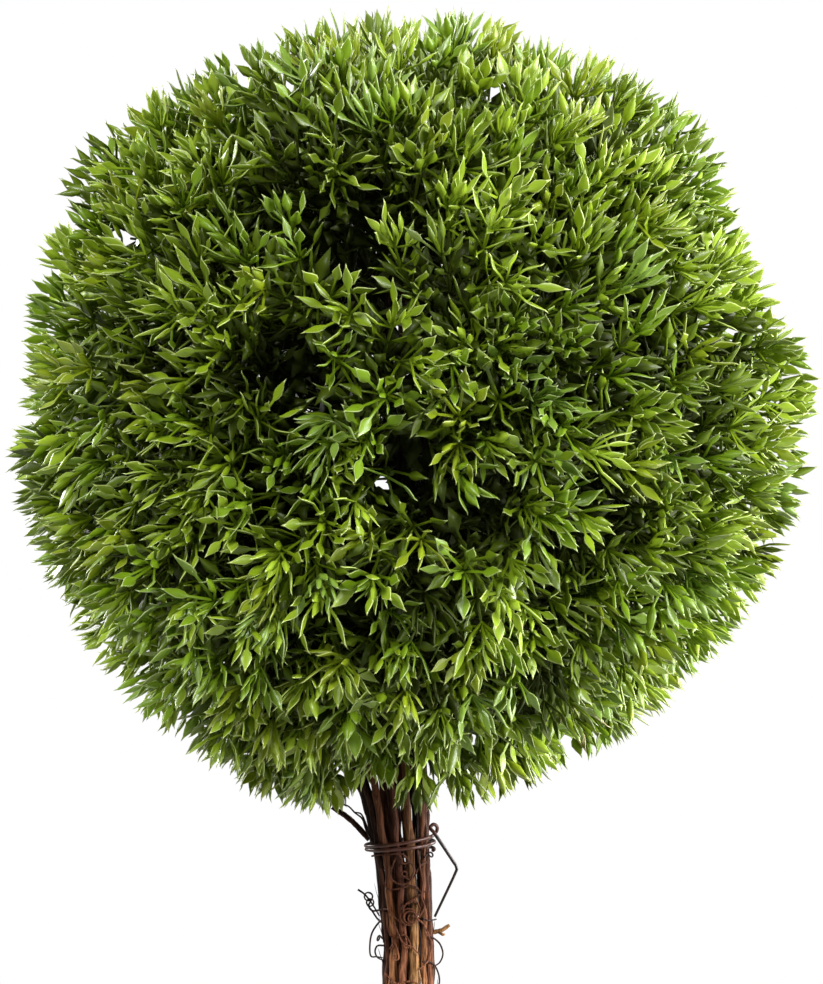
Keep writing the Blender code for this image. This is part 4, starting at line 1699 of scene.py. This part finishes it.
    def spray_directions(self, rng: random.Random) -> Iterator[Vector]:
        """Directions of the sprays from the crown's centre, by the source's rule.

        Args:
            rng: The source of its shifts.

        Yields:
            Each spray's direction.
        """
        step = math.sqrt(4 * math.pi / self.spray_count)
        for i in range(self.spray_count):
            z = 1 - 2 * (i + 0.5) / self.spray_count
            even = polar(math.sqrt(1 - z * z), GOLDEN_ANGLE * i, z)
            shift = scatter(rng, self.spray_shift, step)
            if z > -math.cos(self.skirt_angle * self.skirt_room):
                yield (even + shift).normalized()
        for i in range(self.skirt_count):
            azimuth = math.tau * (i + rng.uniform(-self.skirt_shift, self.skirt_shift)) / self.skirt_count
            yield polar(math.sin(self.skirt_angle), azimuth, -math.cos(self.skirt_angle))

    def spray_lines(self, direction: Vector, rng: random.Random) -> list[tuple[Vector, Vector, float]]:
        """A spray's leaf lines by the source's rule.

        Args:
            direction: The spray's direction.
            rng: The source of its irregularities.

        Returns:
            The start, direction and length of each line: the tip leaf's first, then those beside the twig.
        """
        tip = self.centre + direction * (self.reach(direction) - self.tip_leaf)
        root = self.root_under((direction + scatter(rng, self.twig_lean)).normalized())
        along = (tip - root).normalized()
        first = Matrix.Rotation(rng.uniform(0, math.tau), 3, along) @ along.orthogonal().normalized()
        lines = [(tip - along * self.leaf_sunk, along, self.tip_leaf + self.leaf_sunk)]
        for i in range(self.side_leaves):
            turn = math.tau * (i + rng.uniform(-self.leaf_shift, self.leaf_shift)) / self.side_leaves
            around = Matrix.Rotation(turn, 3, along) @ first
            tilt = self.leaf_spread * rng.uniform(*self.spread_shares)
            outward = (along * math.cos(tilt) + around * math.sin(tilt)).normalized()
            rng.uniform(-self.leaf_roll, self.leaf_roll)  # the source's roll, drawn to keep its order
            beside = root + around * self.root_spacing * rng.uniform(*self.root_shares)
            start = self.root_under((beside - self.centre).normalized())
            lines.append((start, outward, self.leaf_length * rng.uniform(*self.leaf_sizes)))
        return lines

    def clear_of_limbs(self, start: Vector, end: Vector, room: float) -> bool:
        """Whether a line from start to end keeps a distance of room from every vine.

        Args:
            start: Its first point.
            end: Its last point.
            room: The distance.

        Returns:
            True where it does.
        """
        if min(start.z, end.z) > self.trunk.core_plane + room:
            return True
        for i in range(self.probes + 1):
            where = start.lerp(end, i / self.probes)
            if any((where - knot).length < room + radius for knot, radius in self.limbs):
                return False
        return True

    def in_gap(self, start: Vector, end: Vector, room: float) -> bool:
        """Whether a line from start to end, seen from the front, comes nearer to a gap's edge than room."""
        return any(self.from_spot(start, end, spot).length < radius + room for spot, radius in self.spots)

    def from_spot(self, start: Vector, end: Vector, spot: Vector) -> Vector:
        """The shortest way from a spot to a line, as the front shows both.

        Args:
            start: The line's first point.
            end: Its last point.
            spot: The spot, across and up from AIM.

        Returns:
            The way.
        """
        first, last = self.seen(start), self.seen(end)
        _, share = intersect_point_line(spot, first, last)
        return first.lerp(last, min(1.0, max(0.0, share))) - spot

    def bent_clear(self, points: list[Vector]) -> list[Vector]:
        """Bends a bough's line so that it leaves the crown's gaps open.

        Args:
            points: The line's points, which move.

        Returns:
            The same points.
        """
        for spot, radius in self.spots:
            ways = (self.from_spot(start, end, spot) for start, end in zip(points, points[1:]))
            way = min(ways, key=lambda found: found.length)
            lacking = radius + self.bough_radius + self.gap_room - way.length
            if lacking > 0:
                push = Vector((way.x, 0.0, way.y)).normalized() * lacking * self.bend_more
                for point in points[1:-1]:
                    point += push * math.exp(-(((self.seen(point) - spot).length / self.bend_length) ** 2))
        return points

    def seen(self, point: Vector) -> Vector:
        """Where the front shows a point, across and up from AIM on the plane through it."""
        nearness = EYE_DISTANCE / (EYE_DISTANCE + point.y)
        return Vector(((point.x - AIM.x) * nearness, (point.z - AIM.z) * nearness, 0.0))

    def pick_tint(self) -> Tint:
        """Deals out a spray's green."""
        share = self.fine.random()
        return next(tint for tint, limit in SPRAY_TINTS.items() if share < limit)

    def deeper(self, tint: Tint, level: int) -> Tint:
        """The green of a shoot's whorl below its last one: darker by a step each, as painted shade deeper in
        the crown.
        """
        place = DEEPER.index(tint) if tint in DEEPER else 1
        return tint if level == 0 else DEEPER[min(place + level, len(DEEPER) - 1)]

    def grow(self) -> None:
        """Grows every bough, twig, shoot and leaf."""
        rng = random.Random(self.seed)
        for direction in self.spray_directions(rng):
            lines = self.spray_lines(direction, rng)
            fork = self.centre + direction * self.reach(direction) * self.fork_share
            self.grow_bough(fork, direction)
            for start, outward, length in lines:
                tip = start + outward * length
                bearing = (tip - self.centre).normalized()
                tip = self.centre + bearing * min((tip - self.centre).length, self.reach(bearing))
                self.grow_twig(fork, tip, direction)

    def grow_bough(self, fork: Vector, direction: Vector) -> None:
        """A bough from the nearest vine's tip to where it forks, with inner leaves in the darkest green,
        painted shade, on its outer half.

        Args:
            fork: Where it ends.
            direction: Its spray's direction.
        """
        feet = [self.trunk.vine_curve(vine, self.trunk.core_plane) for vine in self.trunk.vines]
        foot = min(feet, key=lambda found: (found - fork).length * self.fine.uniform(*self.foot_play))
        height = self.rise_height + self.rise_more * (1 + direction.z) / 2
        rise = Vector((foot.x * self.rise_share, foot.y * self.rise_share, height))
        knots = [foot, foot.lerp(rise, 0.5), rise, rise.lerp(fork, self.rise_bow), fork]
        points = smooth_line(knots, steps=4)
        self.boughs.append(tapered(self.bent_clear(points), self.bough_radius, self.twig_radius))
        for share in self.shaded_whorl_places:
            self.whorl(rise.lerp(fork, share), (fork - rise).normalized(), self.bough_whorl)

    def grow_twig(self, fork: Vector, tip: Vector, direction: Vector) -> None:
        """A twig from a bough's fork, and its shoots.

        Args:
            fork: Where it starts.
            tip: The tip of the source's leaf that it stands for.
            direction: Its spray's direction.
        """
        fine = self.fine
        base = fork.lerp(tip, (self.base_share - self.fork_share) / (1 - self.fork_share))
        middle = fork.lerp(base, 0.5) + scatter(fine, self.twig_bow)
        if not self.clear_of_limbs(base, tip, self.limb_room):
            return
        line = smooth_line([fork, middle, base], steps=3)
        self.twigs.append(tapered(line, self.twig_radius, self.shoot_radius * self.twig_end))
        axis = (base - fork).normalized()
        # Whorls inside the spray, in the SHADE green: painted shade.
        self.whorl(middle, axis, self.middle_whorl)
        self.whorl(base, axis, self.base_whorl)
        bearing = (tip - self.centre).normalized()
        side = bearing.orthogonal().normalized()
        first = fine.uniform(0, math.tau)
        for i in range(self.shoot_count):
            shift = fine.uniform(-self.shoot_shift, self.shoot_shift)
            turn = first + math.tau * (i + shift) / self.shoot_count
            aside = Matrix.Rotation(turn, 3, bearing) @ side * self.shoot_aside
            self.grow_shoot(base, tip + aside * fine.uniform(*self.aside_shares), direction)

    def grow_shoot(self, base: Vector, aim: Vector, direction: Vector) -> None:
        """A shoot with its whorls of leaves.

        Args:
            base: Where it leaves its twig.
            aim: The point that it grows towards.
            direction: Its spray's direction.
        """
        fine = self.fine
        bearing = (aim - self.centre).normalized()
        dome = min(self.dome_most, bearing.angle(direction) / self.dome_width) ** 2 * self.dome_drop
        end_reach = self.clipped_reach(bearing) * (fine.uniform(*self.end_shares) - dome)
        end = self.centre + bearing * (end_reach - self.top_node)
        if not self.clear_of_limbs(base, end, self.limb_room) or self.in_gap(base, end, self.shoot_radius):
            return
        length = (end - base).length
        bow = scatter(fine, self.shoot_bow, length)
        points = smooth_line([base, base.lerp(end, 0.5) + bow, end], steps=3)
        tint = self.pick_tint()
        line = tapered(points, self.shoot_radius, self.shoot_radius * self.shoot_end)
        # A shoot takes its green two steps darker: painted shade inside the spray.
        self.shoots.setdefault(self.deeper(tint, 2), []).append(line)
        axis = (points[-1] - points[-3]).normalized()
        axis = (axis + scatter(fine, self.shoot_lean)).normalized()
        for level, count in enumerate(self.whorl_leaves):
            share = 1 - level * self.node_spacing / length
            if share < 0:
                break
            kind = fine.choice(TOP_KINDS)
            if level:
                kind = LeafKind.SECOND if level == 1 else LeafKind.PLAIN
            tilts = self.lower_tilts if level else self.last_tilts
            whorl = Whorl(count, tilts, fine.uniform(*self.whorl_sizes), (self.deeper(tint, level), kind))
            self.whorl(self.along(points, share), axis, whorl)
        self.leaf(points[-1], axis, axis.orthogonal(), (tint, LeafKind.SLIM), self.top_leaf)

    def along(self, points: list[Vector], share: float) -> Vector:
        """The point at a share of a line's steps."""
        below = min(int(share * (len(points) - 1)), len(points) - 2)
        return points[below].lerp(points[below + 1], share * (len(points) - 1) - below)

    def whorl(self, where: Vector, axis: Vector, whorl: Whorl) -> None:
        """Grows a whorl of leaves.

        Args:
            where: Its node on the stem.
            axis: The stem's direction.
            whorl: Its leaves.
        """
        fine = self.fine
        side = axis.orthogonal().normalized()
        first = fine.uniform(0, math.tau)
        for i in range(whorl.count):
            turn = first + math.tau * (i + fine.uniform(-self.whorl_shift, self.whorl_shift)) / whorl.count
            around = Matrix.Rotation(turn, 3, axis) @ side
            tilt = fine.uniform(*whorl.tilts)
            outward = (axis * math.cos(tilt) + around * math.sin(tilt)).normalized()
            facing = axis + around.cross(axis) * fine.uniform(-1.0, 1.0)
            self.leaf(where, outward, facing, whorl.look, whorl.size * fine.uniform(*self.blade_sizes))

    def leaf(
        self, start: Vector, outward: Vector, facing: Vector, look: tuple[Tint, LeafKind], size: float
    ) -> None:
        """Grows one leaf, shortened to stay within the crown's reach, or skips it where it meets a vine.

        Args:
            start: Its foot.
            outward: Its direction.
            facing: Where its face looks.
            look: Its green and its shape.
            size: Its scale.
        """
        whole = look[1].value.length
        length = whole * size
        tip = start + outward * length
        spoke = tip - self.centre
        beyond = spoke.length - self.clipped_reach(spoke.normalized()) * self.most_reach
        if beyond > 0:
            size *= 1 - beyond / length
            tip = start + outward * whole * size
        if size < self.least_leaf or not self.clear_of_limbs(start, tip, self.leaf_room):
            return
        if not self.in_gap(start, tip, self.gap_room):
            wide = size * self.fine.uniform(*self.blade_widths)
            self.frames.setdefault(look, []).append(placed(start, outward, facing, (wide, size, size)))

    def build(self) -> int:
        """Grows the crown and makes its pieces, none of them too large.

        Returns:
            How many leaves it has.
        """
        self.grow()
        shapes = {kind: kind.value.pattern(kind.name.lower()) for kind in LeafKind}
        for tint in Tint:
            kinds = [kind for kind in LeafKind if (tint, kind) in self.frames]
            sets = [(shapes[kind], np.array(self.frames[tint, kind])) for kind in kinds]
            parts = math.ceil(sum(shape.triangles * len(frames) for shape, frames in sets) / PIECE_TRIANGLES)
            for part in range(parts):
                share = [(shape, frames[part::parts]) for shape, frames in sets]
                piece = copied(f"leaves_{tint.name.lower()}_{part + 1}", share)
                dress(piece, (self.greens[tint], self.tips[tint]), "leaf", "crown")
        for tint, lines in self.shoots.items():
            piece = tubes(f"shoots_{tint.name.lower()}", lines, roundness=0)
            dress(piece, self.greens[tint], "leaf", "crown")
        # The twigs take the darkest green: painted shade inside the crown.
        dress(tubes("twigs", self.twigs, roundness=0), self.greens[Tint.SHADE], "leaf", "crown")
        bark = self.trunk.barks[BarkTone.BLACK]
        dress(tubes("boughs", self.boughs, roundness=1), bark, "bark", "crown")
        return sum(len(frames) for frames in self.frames.values())


# Pot


@dataclass
class Pot:
    """The tapered clay pot with its rim band, and the soil in it.

    Attributes:
        height: Its height.
        soil_top: The height of the soil at the trunk.
    """

    height: float
    soil_top: float
    foot_radius: float = 0.059
    mouth_radius: float = 0.076
    wall: float = 0.0065
    floor: float = 0.009
    rim_height: float = 0.034
    rim_proud: float = 0.0065
    lip_round: float = 0.0025
    foot_play: float = 0.0004  # points of the underside that are lower than this are set flat
    soil_flat: float = 0.030
    soil_fall: float = 0.004
    sides: int = 144
    wall_rows: int = 28
    band_rows: int = 6
    inner_rows: int = 8
    soil_sides: int = 96
    soil_rows: int = 24
    # size, stretch and depth: dents and throwing rings in the clay, lumps and grit in the soil
    clay_reliefs: tuple[Step, ...] = ((0.045, 1.0, 0.0006), (0.006, 0.25, 0.00022))
    soil_reliefs: tuple[Step, ...] = ((0.006, 1.0, 0.0016), (0.0022, 1.0, 0.0012))
    crumb_count: int = 1500
    crumb_size: float = 0.0011
    least_crumb: float = 0.0003
    crumb_shares: Limits = (0.4, 1.0)  # of the size, before they are squared
    crumb_sides: Limits = (0.7, 1.4)  # of that along each of its sides
    crumb_rise: float = 0.0003  # of its middle over the soil
    crumb_edge: float = 0.985  # share of the soil's radius where they end
    seed: int = 11

    def wall_radius(self, height: float) -> float:
        """Outside radius of the pot's wall at a height, without its rim band."""
        return self.foot_radius + (self.mouth_radius - self.foot_radius) * height / self.height

    def profile(self) -> list[tuple[float, float]]:
        """Lays out the pot's rings.

        Returns:
            (radius, height) of each, from the edge of its underside, up its outside and down its inside.
        """
        band_foot = self.height - self.rim_height
        band = self.wall_radius(self.height) + self.rim_proud
        soft = self.lip_round
        rings = [(self.foot_radius - soft, 0.0), (self.foot_radius - soft * 0.3, soft * 0.3)]
        for i in range(self.wall_rows + 1):
            at = soft + (band_foot - 2 * soft) * i / self.wall_rows
            rings.append((self.wall_radius(at), at))
        rings += [(self.wall_radius(band_foot) + soft * 0.4, band_foot - soft * 0.3)]
        rings += [(band - soft, band_foot), (band - soft * 0.55, band_foot + soft * 0.35)]
        for i in range(self.band_rows + 1):
            at = band_foot + soft + (self.rim_height - 2 * soft) * i / self.band_rows
            rings.append((band - soft * (0.5 - 0.5 * i / self.band_rows), at))
        inside = self.wall_radius(self.height) - self.wall
        for edge, inwards, angles in ((band, -soft, (30, 60, 90)), (inside, soft, (90, 60, 30, 0))):
            for turn in map(math.radians, angles):
                at = self.height - soft * (1 - math.sin(turn))
                rings.append((edge + inwards * (1 - math.cos(turn)), at))
        for i in range(1, self.inner_rows + 1):
            at = self.height - soft + (self.floor - self.height + soft) * i / self.inner_rows
            rings.append((self.wall_radius(at) - self.wall, at))
        return rings

    def build(self, clay: Material) -> Piece:
        """Builds the pot.

        Args:
            clay: Its material.

        Returns:
            The piece.
        """
        pot = turned("clay_pot", self.profile(), self.sides)
        for forms in self.clay_reliefs:
            relief(pot, *forms)
        for point in pot.data.vertices:
            if point.co.z < self.foot_play:
                point.co.z = 0.0
        smooth(pot)
        return dress(pot, clay, "clay", "pot")

    def soil_radius(self, height: float) -> float:
        """Radius of the soil at a height."""
        return self.wall_radius(height) - self.wall - GAP

    def top_at(self, radius: float) -> float:
        """The soil's height at a distance from the trunk."""
        slope_width = self.wall_radius(self.soil_top) - self.wall - self.soil_flat
        return self.soil_top - self.soil_fall * max(0.0, (radius - self.soil_flat) / slope_width)

    def build_soil(self, earth: Material) -> int:
        """Builds the soil with its uneven top, and loose crumbs on it.

        Args:
            earth: Its material.

        Returns:
            How many pieces were made.
        """
        edge = self.soil_top - self.soil_fall
        widest = self.soil_radius(edge)
        rings = [(self.soil_radius(self.floor), self.floor + GAP), (widest, edge)]
        for i in range(1, self.soil_rows):
            radius = widest * (1 - i / self.soil_rows)
            rings.append((radius, self.top_at(radius)))
        soil = turned("potting_soil", rings, self.soil_sides)
        for forms in self.soil_reliefs:
            relief(soil, *forms)
        smooth(soil, degrees=60.0)
        dress(soil, earth, "soil", "soil")
        frames = list(self.crumbs(widest))
        deselect()
        bpy.ops.mesh.primitive_ico_sphere_add(subdivisions=1, radius=1.0)
        lump = added("crumb")
        relief(lump, size=0.7, stretch=1.0, strength=0.7)
        smooth(lump, degrees=30.0)
        dress(copied("soil_crumbs", [(Pattern.taken_from(lump), np.array(frames))]), earth, "soil")
        return 2

    def crumbs(self, widest: float) -> Iterator[np.ndarray]:
        """Scatters crumbs on the soil.

        Args:
            widest: The soil's radius.

        Yields:
            Each crumb's matrix.
        """
        rng = random.Random(self.seed)
        for _ in range(self.crumb_count):
            radius = widest * math.sqrt(rng.random()) * self.crumb_edge
            where = polar(radius, rng.uniform(0, math.tau), self.top_at(radius) + self.crumb_rise)
            facing = scatter(rng, 1.0)
            size = self.crumb_size * rng.uniform(*self.crumb_shares) ** 2 + self.least_crumb
            sizes = [size * rng.uniform(*self.crumb_sides) for _ in range(3)]
            yield placed(where, facing.orthogonal().normalized(), facing, sizes)


# Studio


@dataclass
class Studio:
    """The pale floor, the soft lights and the camera.

    Attributes:
        paint: The floor's material.
        lights: Each light's name, place and power in watts.
        light_size: The side of each light's square.
        ambient: The strength of the white surroundings on the model.
        view_height: The height that the picture shows at AIM.
    """

    paint: Material
    lights: tuple[tuple[str, Step, float], ...] = (
        ("key", (1.42, -0.80, 0.72), 42.0),
        ("right side", (1.60, -0.10, 0.60), 23.0),
        ("fill", (-0.80, -1.40, 1.60), 39.0),
        ("right back", (1.15, 0.75, 0.70), 28.0),
        ("left back", (-1.20, 0.85, 1.05), 36.0),
    )
    light_size: float = 0.6
    ambient: float = 0.06
    view_height: float = 0.4074
    floor_radius: float = 1.15
    sensor: float = 36.0

    def build(self) -> int:
        """Sets up the floor, the lights, the white surroundings and the camera.

        Returns:
            How many lights there are.
        """
        deselect()
        bpy.ops.mesh.primitive_circle_add(vertices=96, radius=self.floor_radius, fill_type="NGON")
        floor = added("studio_floor")
        floor.data.materials.append(self.paint)
        floor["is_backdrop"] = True
        for name, where, power in self.lights:
            light = bpy.data.lights.new(name, "AREA")
            light.shape = "SQUARE"
            light.size = self.light_size
            light.energy = power
            lamp = self.stand(name, light, where)
            lamp.rotation_euler = (AIM - lamp.location).to_track_quat("-Z", "Y").to_euler()
        self.surround()
        camera = bpy.data.cameras.new("front")
        camera.sensor_width = self.sensor
        camera.lens = self.sensor * EYE_DISTANCE / self.view_height
        camera.clip_end = 20.0
        eye = self.stand("front", camera, AIM - Vector((0.0, EYE_DISTANCE, 0.0)))
        eye.rotation_euler = (math.radians(90), 0.0, 0.0)
        bpy.context.scene.camera = eye
        bpy.context.scene.view_settings.view_transform = "Standard"
        return len(self.lights)

    def stand(self, name: str, what: bpy.types.ID, where: Sequence[float]) -> Piece:
        """Stands a light or a camera in the scene.

        Args:
            name: Its name.
            what: The light or camera.
            where: Its place.

        Returns:
            The object.
        """
        made = bpy.data.objects.new(name, what)
        made.location = where
        bpy.context.scene.collection.objects.link(made)
        return made

    def surround(self) -> None:
        """Surrounds the scene with white, which lights it faintly and shows in full to the camera."""
        world = bpy.data.worlds.new("white surroundings")
        bpy.context.scene.world = world
        world.use_nodes = True
        tree = world.node_tree
        lit = feed(tree, tree.nodes["Background"], Color=WHITE, Strength=self.ambient)
        seen = node(tree, "Background", Color=WHITE, Strength=1.0)
        by_camera = node(tree, "LightPath").outputs["Is Camera Ray"]
        both = node(tree, "MixShader", by_camera, lit.outputs[0], seen.outputs[0])
        feed(tree, tree.nodes["World Output"], Surface=both.outputs[0])


def write_sizes() -> None:
    """Works out the model's box and the finished piece's box as plain lists, and keeps neither."""
    boxes = {"cad": CAD_BOX, "visual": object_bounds()}
    {name: [list(corner) for corner in box] for name, box in boxes.items()}


def main() -> None:
    """Builds the pot, the trunk with its bindings, the crown and the studio, in that order."""
    logging.basicConfig(level=logging.INFO, format="%(name)s: %(message)s")
    barks = named(BarkTone, "bark")
    greens = named(Tint, "leaf")
    # The leaves' rims and tips take lighter greens: a painted highlight.
    tips = {tint: tint.value.with_highlight().material(f"leaf tip {tint.name.lower()}") for tint in Tint}
    soil_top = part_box("soil")[1].z
    pot = Pot(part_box("pot")[1].z, soil_top)
    clay_pot = pot.build(Terracotta().material("terracotta"))
    log.info("pot: %d faces", len(clay_pot.data.polygons))
    log.info("soil: %d pieces", pot.build_soil(PottingSoil().material("potting soil")))
    trunk = Trunk(soil_top, CROWN_HEIGHT - CORE_RADIUS * CORE_FLAT, barks)
    log.info("trunk: %d pieces", trunk.build())
    bindings = Bindings(trunk)
    coated = CoatedWire().material("coated wire")
    bare = CoatedWire(colour=(0.016, 0.010, 0.008), worn=(0.045, 0.024, 0.017)).material("bare wire")
    log.info("ties: %d pieces", bindings.build_ties(coated, bare))
    log.info("spurs: %d pieces", bindings.build_spurs())
    log.info("tendrils: %d pieces", bindings.build_tendrils())
    log.info("crown: %d leaves", Crown(trunk, greens, tips).build())
    log.info("studio: %d lights", Studio(Backdrop().material("studio floor")).build())
    write_sizes()


if __name__ == "__main__":
    main()
